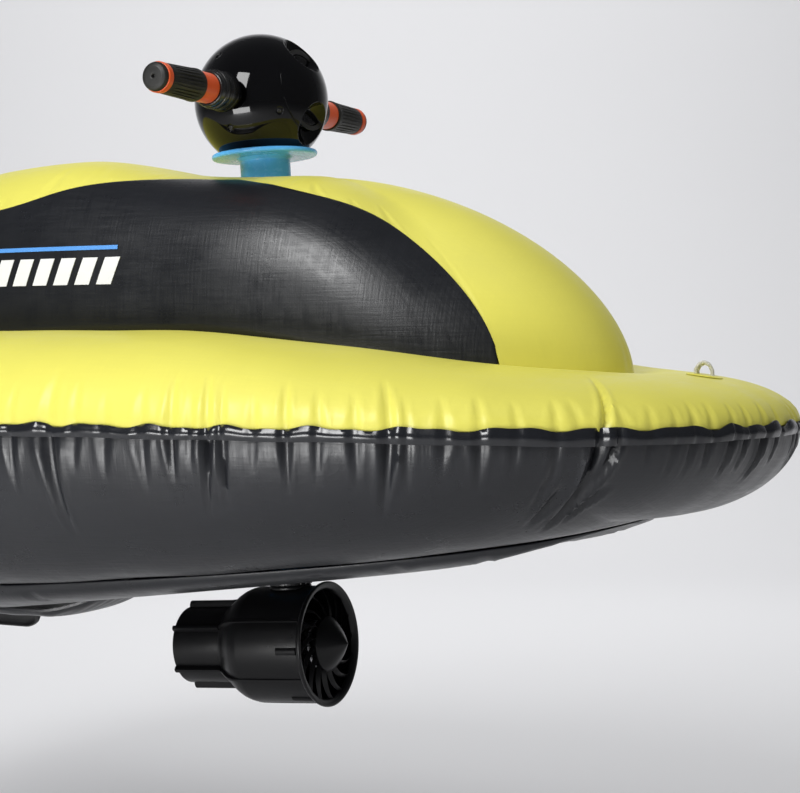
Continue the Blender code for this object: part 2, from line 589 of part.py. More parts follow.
def make_head(cap_axis):
    """Both half shells come from one hollow form; the cap's frame has its axis along local Z."""
    cap_plane = BALL_RADIUS * math.cos(CAP_ANGLE)
    form = place(piece("head_form", ball_mesh(BALL_RADIUS)), steering, (0, 0, BALL_Z))
    cavity = place(piece("head_cavity", ball_mesh(BALL_RADIUS - SHELL_WALL)), steering, (0, 0, BALL_Z))
    for tool in scoops(cap_axis, SCOOP_RADIUS, "scoop"):
        shape(form, tool)
    for tool in scoops(cap_axis, SCOOP_RADIUS + SHELL_WALL, "scoop_wall"):
        shape(cavity, tool)
    plate_low = cap_plane - SHELL_WALL
    for target, name, low in ((form, "cap_space", cap_plane), (cavity, "front_plate", plate_low)):
        shape(target, place(piece(name, box_mesh((-REACH, -REACH, low), (REACH, REACH, REACH))), cap_axis))
    seat_low = FLANGE_TOP + GAP - BALL_Z
    base = piece("base_space", box_mesh((-REACH, -REACH, -REACH), (REACH, REACH, seat_low)))
    shape(form, place(base, steering, (0, 0, BALL_Z)))
    for side, sign in (("port", 1), ("starboard", -1)):
        turned_out = (-sign * math.pi / 2, 0, 0)
        spot = (BAR_X, 0, BALL_Z)
        boss = turned("bar_boss_" + side,
                      [(0, BOSS_END), (BOSS_RADIUS, BOSS_END), (BOSS_RADIUS, BOSS_RIM_START),
                       (BOSS_NECK_RADIUS, BOSS_RIM_START), (BOSS_NECK_RADIUS, BOSS_ROOT), (0, BOSS_ROOT)],
                      steps=24, closed=False)
        shape(form, place(boss, steering, spot, turned_out), "UNION")
        bore = piece("bar_bore_" + side, cylinder_mesh(BAR_RADIUS + GAP, 0.05, REACH, 20))
        shape(form, place(bore, steering, spot, turned_out))
        keep = piece("boss_keep_" + side,
                     cylinder_mesh(BOSS_NECK_RADIUS + 0.001, BOSS_ROOT + 0.0005, REACH, 24))
        shape(cavity, place(keep, steering, spot, turned_out))
    shape(form, cavity)
    bore = piece("plug_bore", cylinder_mesh(CAP_PLUG_RADIUS + 0.0004, 0.02, REACH))
    shape(form, place(bore, cap_axis))
    hole = piece("button_bore", cylinder_mesh(BUTTON_RADIUS + RUN, BALL_RADIUS * 0.7, REACH, 24))
    shape(form, place(hole, button_axis))
    for index, spot in enumerate(screw_places(), 1):
        recess = piece("screw_recess_%d" % index,
                       cylinder_mesh(SCREW_RECESS_RADIUS, BALL_RADIUS - SCREW_RECESS_DEPTH, REACH, 16))
        shape(form, place(recess, steering, (0, 0, BALL_Z), toward(spot)))
    for side, sign in (("port", 1), ("starboard", -1)):
        edges = sorted((sign * GAP / 2, sign * REACH))
        half = piece("head_shell_" + side, box_mesh((-REACH, edges[0], -REACH), (REACH, edges[1], REACH)),
                     BLACK_PLASTIC, 0.12)
        shape(place(half, steering, (0, 0, BALL_Z)), form, "INTERSECT")


def screw_places():
    """Directions from the ball's centre to the head's screws, on the starboard half."""
    return [Vector((0.684, -0.669, -0.293)), Vector((-0.041, -0.876, -0.481)),
            Vector((-0.250, -0.735, 0.630))]


def toward(direction):
    return direction.to_track_quat("Z", "Y").to_euler()


def make_head_screws():
    floor = BALL_RADIUS - SCREW_RECESS_DEPTH + GAP
    for index, spot in enumerate(screw_places(), 1):
        screw = turned("head_screw_%d" % index,
                       [(0, floor + 0.0012), (SCREW_HEAD_RADIUS - 0.0008, floor + 0.0012),
                        (SCREW_HEAD_RADIUS, floor + 0.0004), (SCREW_HEAD_RADIUS, floor), (0, floor)],
                       STEEL, 0.3, 1.0, steps=16, closed=False)
        place(screw, steering, (0, 0, BALL_Z), toward(spot))


def make_cap(cap_axis):
    plane = BALL_RADIUS * math.cos(CAP_ANGLE)
    rim = BALL_RADIUS * math.sin(CAP_ANGLE)
    gasket_low = plane + GAP
    gasket_high = gasket_low + GASKET_THICKNESS
    profile = ring_profile(rim - 0.005, CAP_PLUG_RADIUS + 0.0010, gasket_high, gasket_low)
    gasket = turned("cap_gasket", profile, RUBBER_BLACK, 0.6, steps=36)
    place(gasket, cap_axis)
    back = gasket_high + GAP
    cap = place(piece("battery_cap", ball_mesh(BALL_RADIUS), BLACK_PLASTIC, 0.12), cap_axis)
    shape(cap, place(piece("cap_trim", box_mesh((-REACH, -REACH, -REACH), (REACH, REACH, back))), cap_axis))
    for tool in scoops(cap_axis, SCOOP_RADIUS, "cap_scoop"):
        shape(cap, tool)
    plug = piece("cap_plug", cylinder_mesh(CAP_PLUG_RADIUS, back - CAP_PLUG_LENGTH, back + 0.004))
    shape(cap, place(plug, cap_axis), "UNION")


def make_head_insides():
    x, y, z = (side / 2 for side in BATTERY)
    pack = piece("battery_pack", box_mesh((-x, -y, -z), (x, y, z)), BATTERY_GREY, 0.5)
    place(pack, steering, (BATTERY_X, 0, BALL_Z - BATTERY_DROP), (0, -CAP_TILT, 0))
    edge = pack.modifiers.new("edge", "BEVEL")
    edge.width = 0.004
    edge.segments = 2
    thick, wide, high = (side / 2 for side in BOARD)
    board = piece("control_board", box_mesh((-thick, -wide, -high), (thick, wide, high)), BOARD_GREEN, 0.5)
    place(board, steering, (BOARD_X, 0, BALL_Z - BOARD_DROP))


def make_button():
    outer = BALL_RADIUS + BUTTON_PROUD
    inside = (BALL_RADIUS - SHELL_WALL) * FACET_SHARE
    lip_top = math.sqrt(inside ** 2 - (BUTTON_RADIUS + 0.0018) ** 2) - GAP
    profile = [(0, outer), (BUTTON_RADIUS - 0.0030, outer - 0.0004),
               (BUTTON_RADIUS - 0.0008, outer - 0.0016),
               (BUTTON_RADIUS, outer - 0.0030), (BUTTON_RADIUS, lip_top), (BUTTON_RADIUS + 0.0018, lip_top),
               (BUTTON_RADIUS + 0.0018, lip_top - 0.0012), (0, lip_top - 0.0012)]
    place(turned("power_button", profile, ORANGE, 0.35, steps=24, closed=False), button_axis)
    cup_radius = BUTTON_RADIUS + 0.0045
    cup_top = math.sqrt(inside ** 2 - cup_radius ** 2) - 0.0008
    floor = cup_top - 0.0105
    cup = [(0, floor + 0.0012), (cup_radius - 0.0015, floor + 0.0012), (cup_radius - 0.0015, cup_top),
           (cup_radius, cup_top), (cup_radius, floor), (0, floor)]
    place(turned("button_cup", cup, BLACK_PLASTIC, 0.5, steps=24, closed=False), button_axis)
    button_low = lip_top - 0.0012
    low = floor + 0.0012 + GAP
    high = button_low - BUTTON_TRAVEL - GAP
    dome = [(0, high), (0.0035, high), (0.0070, low + 0.0010), (0.0090, low + 0.0010), (0.0090, low),
            (0, low)]
    place(turned("button_dome", dome, RUBBER_BLACK, 0.6, steps=20, closed=False), button_axis)


def make_handlebar():
    for side, sign in (("port", 1), ("starboard", -1)):
        spot, aim = (BAR_X, 0, BALL_Z), (-sign * math.pi / 2, 0, 0)

        def along(name, profile, colour, roughness, steps=20, closed=True, metallic=0.0):
            return place(turned(name + "_" + side, profile, colour, roughness, metallic, steps, closed),
                         steering, spot, aim)
        fit = BAR_RADIUS + GAP
        along("bar_tube", ring_profile(BAR_RADIUS, BAR_RADIUS - BAR_WALL, END_RING_END - GAP, BAR_INNER_END),
              ORANGE, 0.4)
        step = COLLAR_STEP_RADIUS
        along("bar_collar", [(step - 0.002, COLLAR_END), (step, COLLAR_END - 0.002), (step, COLLAR_STEP),
                             (COLLAR_RADIUS, COLLAR_STEP), (COLLAR_RADIUS, BOSS_END + GAP),
                             (fit, BOSS_END + GAP), (fit, COLLAR_END)], BLACK_PLASTIC, 0.2)
        along("wide_ring", ring_profile(RING_RADIUS, fit, WIDE_RING_END, COLLAR_END + GAP), ORANGE, 0.4)
        low, high = WIDE_RING_END + GAP, GRIP_END
        along("grip", [(GRIP_RADIUS_OUT - 0.0008, high), (GRIP_RADIUS_OUT, high - 0.0008),
                       (GRIP_RADIUS_IN, low + 0.012), (GRIP_RADIUS_IN + 0.0008, low + 0.006),
                       (GRIP_RADIUS_IN + 0.0008, low), (fit, low), (fit, high)], RUBBER_BLACK, 0.6)
        along("end_ring", ring_profile(RING_RADIUS - 0.0002, fit, END_RING_END, high + GAP), ORANGE, 0.4)
        low = END_RING_END + GAP
        along("end_cap", [(0, END_CAP_END), (END_CAP_RADIUS - 0.006, END_CAP_END - 0.0002),
                          (END_CAP_RADIUS - 0.0018, END_CAP_END - 0.0020), (END_CAP_RADIUS, low + 0.0030),
                          (END_CAP_RADIUS, low), (0, low)], BLACK_PLASTIC, 0.3, closed=False)


# ---------------------------------------------------------------- thruster, axis along the frame's local Z
def make_case():
    inner = CASE_RADIUS - CASE_WALL
    mouth = NOZZLE_RADIUS + 0.0004
    profile = [(CASE_RADIUS, CASE_FRONT), (CASE_RADIUS, CASE_BACK), (CASE_RADIUS - 0.003, CASE_BACK - 0.012),
               (CASE_RADIUS - 0.010, CASE_BACK - 0.023), (NOZZLE_RADIUS + 0.0040, CASE_SHOULDER),
               (mouth, CASE_SHOULDER), (mouth, CASE_SHOULDER + 0.006),
               (CASE_RADIUS - 0.014, CASE_BACK - 0.022),
               (inner - 0.003, CASE_BACK - 0.010), (inner, CASE_BACK), (inner, CASE_FRONT)]
    case = place(turned("thruster_case", profile, BLACK_PLASTIC, 0.18, steps=36), thruster)
    neck = piece("case_neck", cylinder_mesh(NECK_RADIUS, CASE_RADIUS - 0.0021, NECK_TOP - THRUST_Z, 32))
    shape(case, place(neck, steering, (0, 0, THRUST_Z)), "UNION")
    bore = piece("neck_bore", cylinder_mesh(SHAFT_RADIUS + GAP, CASE_RADIUS + 0.0040, 0.12, 20))
    shape(case, place(bore, steering, (0, 0, THRUST_Z)))
    cable_way = piece("cable_way", cylinder_mesh(0.0045, 0.05, 0.12, 16))
    shape(case, place(cable_way, steering, (0, 0, THRUST_Z)))
    for index in range(1, RIB_COUNT):
        low = (-RIB_WIDTH / 4, CASE_RADIUS - 0.002, CASE_BACK + 0.004)
        high = (RIB_WIDTH / 4, CASE_RADIUS + CASE_RIB_HEIGHT, CASE_FRONT - 0.002)
        rib = piece("case_rib_%d" % index, box_mesh(low, high))
        shape(case, place(rib, thruster, rotation=(0, 0, rib_angle(index))), "UNION")


def rib_angle(index):
    """Rib 0 is on top. The thruster frame's local -X points up, so the first rib starts there."""
    return math.pi / 2 + 2 * math.pi * index / RIB_COUNT


def make_nozzle():
    top = CASE_SHOULDER + 0.0045
    inner = NOZZLE_RADIUS - NOZZLE_WALL
    profile = [(NOZZLE_RADIUS, top), (NOZZLE_RADIUS, NOZZLE_END + 0.001),
               (NOZZLE_RADIUS - 0.001, NOZZLE_END), (inner, NOZZLE_END), (inner, top)]
    nozzle = turned("thruster_nozzle", profile, BLACK_PLASTIC, 0.2, steps=40)
    place(nozzle, thruster)
    for index in range(RIB_COUNT):
        low = (-RIB_WIDTH / 2, NOZZLE_RADIUS - 0.0015, NOZZLE_END + 0.001)
        high = (RIB_WIDTH / 2, NOZZLE_RADIUS + RIB_HEIGHT, CASE_SHOULDER - 0.0008)
        rib = piece("nozzle_rib_%d" % index, box_mesh(low, high))
        shape(nozzle, place(rib, thruster, rotation=(0, 0, rib_angle(index))), "UNION")


def vane(grid, angle, inner, outer, sweep, thickness, low, high, steps=3):
    """One thin curved vane from the inner to the outer radius, as a closed strip."""
    rows = []
    for index in range(steps + 1):
        share = index / steps
        radius = inner + (outer - inner) * share
        middle = angle + sweep * share
        half = thickness / 2 / radius
        corners = [(middle - half, low), (middle + half, low), (middle + half, high), (middle - half, high)]
        rows.append([grid.verts.new((radius * math.cos(a), radius * math.sin(a), z)) for a, z in corners])
    for lower, upper in zip(rows, rows[1:]):
        for corner in range(4):
            after = (corner + 1) % 4
            grid.faces.new((lower[corner], lower[after], upper[after], upper[corner]))
    grid.faces.new(list(reversed(rows[0])))
    grid.faces.new(rows[-1])


def make_guard():
    seat = CASE_FRONT + GAP
    back = GUARD_FRONT - VANE_DEPTH - 0.001
    profile = [(GUARD_RADIUS - 0.0015, GUARD_FRONT), (GUARD_RADIUS, GUARD_FRONT - 0.0015),
               (GUARD_RADIUS, seat), (GUARD_INNER, seat), (GUARD_INNER, GUARD_FRONT - 0.003),
               (GUARD_INNER + 0.003, GUARD_FRONT)]
    ring = turned("intake_guard", profile, BLACK_PLASTIC, 0.2, steps=36)
    place(ring, thruster)
    cone = turned("guard_cone", [(0, CONE_TIP), (0.004, CONE_TIP - 0.0010), (0.013, CONE_TIP - 0.0085),
                                 (0.025, CONE_TIP - 0.0180), (CONE_RADIUS, GUARD_FRONT - 0.001),
                                 (CONE_RADIUS, back), (0, back)], steps=24, closed=False)

    def vanes(grid):
        for index in range(VANE_COUNT):
            vane(grid, 2 * math.pi * index / VANE_COUNT, CONE_RADIUS - 0.002, GUARD_INNER + 0.002,
                 VANE_SWEEP, VANE_THICKNESS, seat + 0.0004, GUARD_FRONT - 0.0035)
        bmesh.ops.recalc_face_normals(grid, faces=grid.faces)
    shape(ring, place(piece("guard_vanes", mesh_from(vanes)), thruster), "UNION")
    shape(ring, place(cone, thruster), "UNION")


def make_motor():
    motor = turned("motor_can", [(0, MOTOR_FRONT), (MOTOR_RADIUS - 0.003, MOTOR_FRONT),
                                 (MOTOR_RADIUS, MOTOR_FRONT - 0.003), (MOTOR_RADIUS, MOTOR_BACK + 0.003),
                                 (MOTOR_RADIUS - 0.003, MOTOR_BACK), (0.010, MOTOR_BACK),
                                 (0.010, MOTOR_BACK + 0.006), (0, MOTOR_BACK + 0.006)],
                   STEEL, 0.35, 1.0, steps=32, closed=False)
    place(motor, thruster)
    low, high = MOTOR_BACK + 0.004, MOTOR_BACK + 0.020
    stator = turned("motor_stator", ring_profile(MOTOR_RADIUS + GAP + 0.0030, MOTOR_RADIUS + GAP, high, low),
                    BLACK_PLASTIC, 0.4, steps=32)
    place(stator, thruster)

    def struts(grid):
        for index in range(3):
            vane(grid, 2 * math.pi * index / 3, MOTOR_RADIUS + 0.002, CASE_RADIUS - CASE_WALL - 0.0005,
                 0.0, 0.0045, low, high, steps=1)
        bmesh.ops.recalc_face_normals(grid, faces=grid.faces)
    shape(stator, place(piece("stator_struts", mesh_from(struts)), thruster), "UNION")
    seal_high = MOTOR_BACK - GAP
    seal = turned("shaft_seal", ring_profile(0.0100, MOTOR_SHAFT_RADIUS + RUN, seal_high, seal_high - 0.004),
                  RUBBER_BLACK, 0.6, steps=20)
    place(seal, thruster)
    shaft = turned("motor_shaft", [(0, MOTOR_BACK + 0.0050), (MOTOR_SHAFT_RADIUS, MOTOR_BACK + 0.0050),
                                   (MOTOR_SHAFT_RADIUS, PROP_BACK - 0.004), (0, PROP_BACK - 0.004)],
                   STEEL, 0.25, 1.0, steps=20, closed=False)
    place(shaft, thruster)


def make_propeller():
    bore = MOTOR_SHAFT_RADIUS + GAP
    hub = turned("propeller", [(PROP_HUB_RADIUS - 0.003, PROP_FRONT), (PROP_HUB_RADIUS, PROP_FRONT - 0.004),
                               (PROP_HUB_RADIUS - 0.002, PROP_BACK), (bore, PROP_BACK), (bore, PROP_FRONT)],
                 BLACK_PLASTIC, 0.3, steps=28)
    place(hub, thruster)
    middle = (PROP_FRONT + PROP_BACK) / 2

    def blades(grid):
        for index in range(3):
            rows = []
            for step in range(5):
                share = step / 4
                radius = PROP_HUB_RADIUS - 0.003 + (PROP_TIP_RADIUS - PROP_HUB_RADIUS + 0.003) * share
                pitch = math.radians(58 - 30 * share)
                chord = 0.010 * (1 - 0.30 * share ** 3)
                along = Vector((0, math.cos(pitch), math.sin(pitch))) * chord
                across = Vector((0, -math.sin(pitch), math.cos(pitch))) * 0.0009
                spot = Vector((radius, 0, middle))
                spin = Matrix.Rotation(2 * math.pi * index / 3, 4, "Z")
                corners = [spot - along - across, spot + along - across, spot + along + across,
                           spot - along + across]
                rows.append([grid.verts.new(spin @ corner) for corner in corners])
            for lower, upper in zip(rows, rows[1:]):
                for corner in range(4):
                    after = (corner + 1) % 4
                    grid.faces.new((lower[corner], lower[after], upper[after], upper[corner]))
            grid.faces.new(list(reversed(rows[0])))
            grid.faces.new(rows[-1])
        bmesh.ops.recalc_face_normals(grid, faces=grid.faces)
    shape(hub, place(piece("propeller_blades", mesh_from(blades)), thruster), "UNION")


def make_strut():
    """Knurled collar that clamps the thruster's neck on the shaft."""
    profile = ring_profile(STRUT_RADIUS, NECK_RADIUS + GAP, STRUT_TOP, STRUT_BOTTOM)
    place(turned("strut_collar", profile, RUBBER_BLACK, 0.5, steps=36), steering)


def make_cable():
    """Motor cable inside the column, from the control board to the motor."""
    curve = bpy.data.curves.new("motor_cable", "CURVE")
    curve.dimensions = "3D"
    curve.bevel_depth = CABLE_RADIUS
    curve.bevel_resolution = 2
    curve.use_fill_caps = True
    line = curve.splines.new("POLY")
    start, bend_top = Vector((CABLE_X, 0, BALL_Z - BALL_RADIUS * 0.2585)), BALL_Z - BALL_RADIUS * 0.3995
    bend_low = FLANGE_TOP + BASE_HUB_HEIGHT - 0.002
    end = THRUST_Z + MOTOR_RADIUS + GAP + 0.0002
    points = [start]
    for index in range(9):
        share = index / 8
        height = bend_top + (bend_low - bend_top) * share
        points.append(Vector((start.x * (1 - smooth_step(share)), 0, height)))
    points += [Vector((0, 0, bend_low + (end - bend_low) * index / 10)) for index in range(1, 11)]
    line.points.add(len(points) - 1)
    for point, spot in zip(line.points, points):
        point.co = (*spot, 1)
    cable = bpy.data.objects.new("motor_cable", curve)
    curve.materials.append(finish_material("motor_cable", RUBBER_BLACK, 0.5))
    model.objects.link(cable)
    place(cable, steering)


# ---------------------------------------------------------------- assembly
clear_scene()
model = collection("water_scooter")
shaping = collection("shaping_bodies")


def frame(name, parent=None, location=(0, 0, 0), rotation=(0, 0, 0)):
    made = bpy.data.objects.new(name, None)
    shaping.objects.link(made)
    return place(made, parent, location, rotation)


column = frame("column_frame", rotation=(0, -RAKE, 0))
steering = frame("steering_axis", rotation=(0, -RAKE, 0))
thruster = frame("thruster_axis", steering, (0, 0, THRUST_Z), (0, math.pi / 2, 0))
button_axis = frame("button_axis", steering, (0, 0, BALL_Z), (0, BUTTON_TILT, 0))
cap_axis = frame("cap_axis", steering, (0, 0, BALL_Z), (0, math.pi / 2 - CAP_TILT, 0))

tube_top, keel_chamber = make_hull()
pod_roof = make_pod()
make_webs()
make_stern_pad_and_skeg()
make_tow_loop()
make_valves(tube_top)
make_column(keel_chamber, pod_roof)
make_head_base()
make_head(cap_axis)
make_head_screws()
make_cap(cap_axis)
make_head_insides()
make_button()
make_handlebar()
make_case()
make_nozzle()
make_guard()
make_motor()
make_propeller()
make_strut()
make_cable()
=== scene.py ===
"""Looks of the inflatable water scooter: air hull, pod, raked column, ball head and thruster.

The packed model is the frame. Each operator makes one piece or a group of like pieces around it, in
metres, in the model's own frame: origin where the steering axis crosses the welded seam, +X to the bow,
+Z up.
"""
import math

import bmesh
import bpy
import numpy as np
from bpy.props import FloatProperty, FloatVectorProperty, IntProperty, PointerProperty
from mathutils import Matrix, Vector


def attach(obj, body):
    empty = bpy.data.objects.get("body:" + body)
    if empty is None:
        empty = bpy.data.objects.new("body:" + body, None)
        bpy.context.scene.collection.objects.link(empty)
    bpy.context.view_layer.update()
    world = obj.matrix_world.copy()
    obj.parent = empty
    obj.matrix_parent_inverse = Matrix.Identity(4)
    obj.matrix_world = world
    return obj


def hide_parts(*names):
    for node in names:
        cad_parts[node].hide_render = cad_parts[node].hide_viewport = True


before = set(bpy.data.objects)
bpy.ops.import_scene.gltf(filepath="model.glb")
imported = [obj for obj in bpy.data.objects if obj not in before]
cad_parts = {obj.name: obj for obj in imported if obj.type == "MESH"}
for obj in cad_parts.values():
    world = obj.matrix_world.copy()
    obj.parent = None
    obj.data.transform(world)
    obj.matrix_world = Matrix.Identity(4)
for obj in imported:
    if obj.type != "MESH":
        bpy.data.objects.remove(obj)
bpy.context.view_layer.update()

bl_info = {
    "name": "Inflatable water scooter",
    "version": (1, 0, 0),
    "blender": (4, 5, 0),
    "location": "View3D > Sidebar > Scooter",
    "description": "Builds the air hull, steering column, head and thruster around the packed model",
    "category": "Object",
}

# ---------------------------------------------------------------- frames of the steered parts
RAKE = math.radians(3.9)
BALL_Z, THRUST_Z, BAR_X = 0.4041, -0.2884, 0.0043
CAP_TILT, BUTTON_TILT = math.radians(6.0), math.radians(-50.0)
STEERING = Matrix.Rotation(-RAKE, 4, "Y")
THRUSTER = STEERING @ Matrix.Translation((0, 0, THRUST_Z)) @ Matrix.Rotation(math.pi / 2, 4, "Y")
BALL = STEERING @ Matrix.Translation((0, 0, BALL_Z))
CAP = BALL @ Matrix.Rotation(math.pi / 2 - CAP_TILT, 4, "Y")
BUTTON = BALL @ Matrix.Rotation(BUTTON_TILT, 4, "Y")
SIDES = (("port", 1), ("starboard", -1))


def bar_frame(sign):
    """Local Z runs outward along the handlebar."""
    middle = Matrix.Translation((BAR_X, 0, BALL_Z))
    return STEERING @ middle @ Matrix.Rotation(-sign * math.pi / 2, 4, "X")


# ---------------------------------------------------------------- settings
class HullSettings(bpy.types.PropertyGroup):
    """Sizes of the air hull's skins, folds and weld band"""
    half_beam: FloatProperty(name="Half beam", description="Half width of the welded seam", default=0.415,
                             unit="LENGTH")
    bow: FloatProperty(name="Bow", description="Seam's foremost point", default=0.655, unit="LENGTH")
    stern: FloatProperty(name="Stern", description="Seam's aftmost point", default=-0.780, unit="LENGTH")
    skin: FloatProperty(name="Skin", description="Thickness of the coated fabric", default=0.0009,
                        unit="LENGTH")
    fold_depth: FloatProperty(name="Fold depth", description="Scale of every fold along the seam",
                              default=1.0, subtype="FACTOR")
    band_out: FloatProperty(name="Band outset", description="How far the weld band stands off the skin",
                            default=0.0036, unit="LENGTH")
    around: IntProperty(name="Columns", description="Mesh columns round the hull", default=960)
    down: IntProperty(name="Rows", description="Mesh rows over each skin", default=44)


class PodSettings(bpy.types.PropertyGroup):
    """Sizes of the centre pod"""
    roof: FloatProperty(name="Roof height", description="Pod's roof above the seam", default=0.302,
                        unit="LENGTH")
    hump: FloatProperty(name="Seat hump", description="Rise of the seat over the roof line",
                        default=0.031, unit="LENGTH")
    stripe_count: IntProperty(name="Stripes", description="Slanted stripes on each side panel", default=6)
    stripe_width: FloatProperty(name="Stripe width", description="Width of one stripe", default=0.022,
                                unit="LENGTH")


class HeadSettings(bpy.types.PropertyGroup):
    """Sizes of the ball head and the handlebar"""
    ball: FloatProperty(name="Ball radius", description="Radius of the head", default=0.0851,
                        unit="LENGTH")
    wall: FloatProperty(name="Shell wall", description="Wall of the head's shells", default=0.003,
                        unit="LENGTH")
    scoop: FloatProperty(name="Scoop radius", description="Radius of the finger scoops", default=0.030,
                         unit="LENGTH")
    scoop_angle: FloatProperty(name="Scoop angle", description="Scoop's centre from the cap's axis",
                               default=math.radians(33), subtype="ANGLE")
    grip_flutes: IntProperty(name="Grip flutes", description="Grooves round each grip", default=26)
    flute_depth: FloatProperty(name="Flute depth", description="Depth of the grip's grooves",
                               default=0.0013, unit="LENGTH")


class ThrusterSettings(bpy.types.PropertyGroup):
    """Sizes of the thruster"""
    case: FloatProperty(name="Case radius", description="Radius of the thruster's case", default=0.0737,
                        unit="LENGTH")
    nozzle: FloatProperty(name="Nozzle radius", description="Radius of the outlet nozzle", default=0.0492,
                          unit="LENGTH")
    guard: FloatProperty(name="Guard radius", description="Radius of the intake guard's lip", default=0.0789,
                         unit="LENGTH")
    vanes: IntProperty(name="Vanes", description="Curved vanes in the intake guard", default=16)
    ribs: IntProperty(name="Ribs", description="Ribs round the nozzle", default=6)


class ColourSettings(bpy.types.PropertyGroup):
    """Colours of the object's finishes"""
    yellow: FloatVectorProperty(name="Yellow skin", description="Upper skin and pod", subtype="COLOR",
                                default=(0.77, 0.72, 0.125))
    black: FloatVectorProperty(name="Black skin", description="Lower skin and side panels", subtype="COLOR",
                               default=(0.0105, 0.0115, 0.0145))
    orange: FloatVectorProperty(name="Orange", description="Bar rings and button", subtype="COLOR",
                                default=(0.78, 0.105, 0.022))
    blue: FloatVectorProperty(name="Blue", description="Column sleeve", subtype="COLOR",
                              default=(0.12, 0.50, 1.0))
    stripe: FloatVectorProperty(name="Stripes", description="Stripes on the side panels", subtype="COLOR",
                                default=(0.80, 0.81, 0.82))
    backdrop: FloatVectorProperty(name="Backdrop", description="Floor and backdrop", subtype="COLOR",
                                  default=(0.80, 0.80, 0.815))


class StageSettings(bpy.types.PropertyGroup):
    """Lights, floor and camera"""
    floor: FloatProperty(name="Floor height", description="Height of the floor", default=-0.62,
                         unit="LENGTH")
    key: FloatProperty(name="Key light", description="Power of the large soft light", default=54.0,
                       unit="POWER")
    top: FloatProperty(name="Top light", description="Power of the overhead light", default=29.0,
                       unit="POWER")
    fill: FloatProperty(name="Fill light", description="Power of the light ahead of the bow",
                        default=12.0, unit="POWER")
    sweep: FloatProperty(name="Sweep light", description="Power of the light on the backdrop",
                         default=165.0, unit="POWER")
    low: FloatProperty(name="Low light", description="Power of the low light beside the hull",
                       default=22.0, unit="POWER")
    room: FloatProperty(name="Room light", description="Strength of the even light all round", default=0.10)
    lens: FloatProperty(name="Lens", description="Focal length in millimetres", default=88.02)


GROUPS = {"scooter_hull": HullSettings, "scooter_pod": PodSettings, "scooter_head": HeadSettings,
          "scooter_thruster": ThrusterSettings, "scooter_colours": ColourSettings,
          "scooter_stage": StageSettings}


# ---------------------------------------------------------------- mesh helpers
def new_piece(name, points, faces, paint, sharp=40.0):
    """An object from an array of points and a list of faces, with its finish."""
    mesh = bpy.data.meshes.new(name)
    mesh.from_pydata([tuple(point) for point in points], [], faces)
    mesh.validate()
    work = bmesh.new()
    work.from_mesh(mesh)
    bmesh.ops.remove_doubles(work, verts=work.verts, dist=0.000005)
    bmesh.ops.dissolve_degenerate(work, edges=work.edges, dist=0.000004)
    bmesh.ops.recalc_face_normals(work, faces=work.faces)
    work.to_mesh(mesh)
    work.free()
    mesh.materials.append(paint)
    mesh.shade_smooth()
    mesh.set_sharp_from_angle(angle=math.radians(sharp))
    return placed(name, mesh)


def placed(name, data):
    """An object in the scene that holds the data."""
    made = bpy.data.objects.new(name, data)
    bpy.context.scene.collection.objects.link(made)
    return made


def settle(made, body, slot, *nodes):
    """The piece moves with its body and stands for its nodes, which are hidden; slot is not used."""
    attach(made, body)
    if nodes:
        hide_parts(*nodes)
    return made


def grid_faces(rows, columns, closed):
    faces = []
    wide = columns if closed else columns - 1
    for row in range(rows - 1):
        for column in range(wide):
            after = (column + 1) % columns
            faces.append((row * columns + column, row * columns + after,
                          (row + 1) * columns + after, (row + 1) * columns + column))
    return faces


def normals_of(grid, closed):
    """Unit normals of a grid of points (rows, columns, 3)."""
    if closed:
        along = np.roll(grid, -1, axis=1) - np.roll(grid, 1, axis=1)
    else:
        along = np.gradient(grid, axis=1)
    across = np.gradient(grid, axis=0)
    normal = np.cross(along, across)
    size = np.linalg.norm(normal, axis=2, keepdims=True)
    return normal / np.maximum(size, 1e-12)


def skin(name, grid, paint, thickness, closed=True, outward=(0, 0, 1)):
    """A fabric skin from a grid of points, its thickness laid to the inside."""
    rows, columns = grid.shape[:2]
    made = new_piece(name, grid.reshape(-1, 3), grid_faces(rows, columns, closed), paint, sharp=75.0)
    mesh = made.data
    facing = sum(face.normal.dot(Vector(outward)) * face.area for face in mesh.polygons)
    if facing < 0:
        mesh.flip_normals()
    thicken(made, thickness)
    return made


def thicken(made, thickness):
    """A wall laid to the inside of the surface."""
    wall = made.modifiers.new("wall", "SOLIDIFY")
    wall.thickness = thickness
    wall.offset = -1


def cut(made, tool):
    """The tool's volume is taken out of the piece, and the tool removed."""
    step = made.modifiers.new("cut", "BOOLEAN")
    step.object = tool
    step.solver = "EXACT"
    bake(made)
    bpy.data.objects.remove(tool, do_unlink=True)


def bake(made):
    """Modifiers become mesh."""
    graph = bpy.context.evaluated_depsgraph_get()
    mesh = bpy.data.meshes.new_from_object(made.evaluated_get(graph))
    made.modifiers.clear()
    made.data = mesh


def rounded(profile, radius, closed=True, steps=4):
    """The profile with an arc at each corner, never longer than half of a neighbouring side."""
    count = len(profile)
    corners = [Vector(point) for point in profile]
    made = []
    for index, corner in enumerate(corners):
        if not closed and index in (0, count - 1):
            made.append(tuple(corner))
            continue
        before, after = corners[index - 1] - corner, corners[(index + 1) % count] - corner
        reach = min(radius, before.length * 0.45, after.length * 0.45)
        if reach < 1e-6 or before.angle(after, 0) > math.radians(172):
            made.append(tuple(corner))
            continue
        start, end = corner + before.normalized() * reach, corner + after.normalized() * reach
        for step in range(steps + 1):
            share = step / steps
            near = start.lerp(corner, share)
            far = corner.lerp(end, share)
            made.append(tuple(near.lerp(far, share)))
    return made


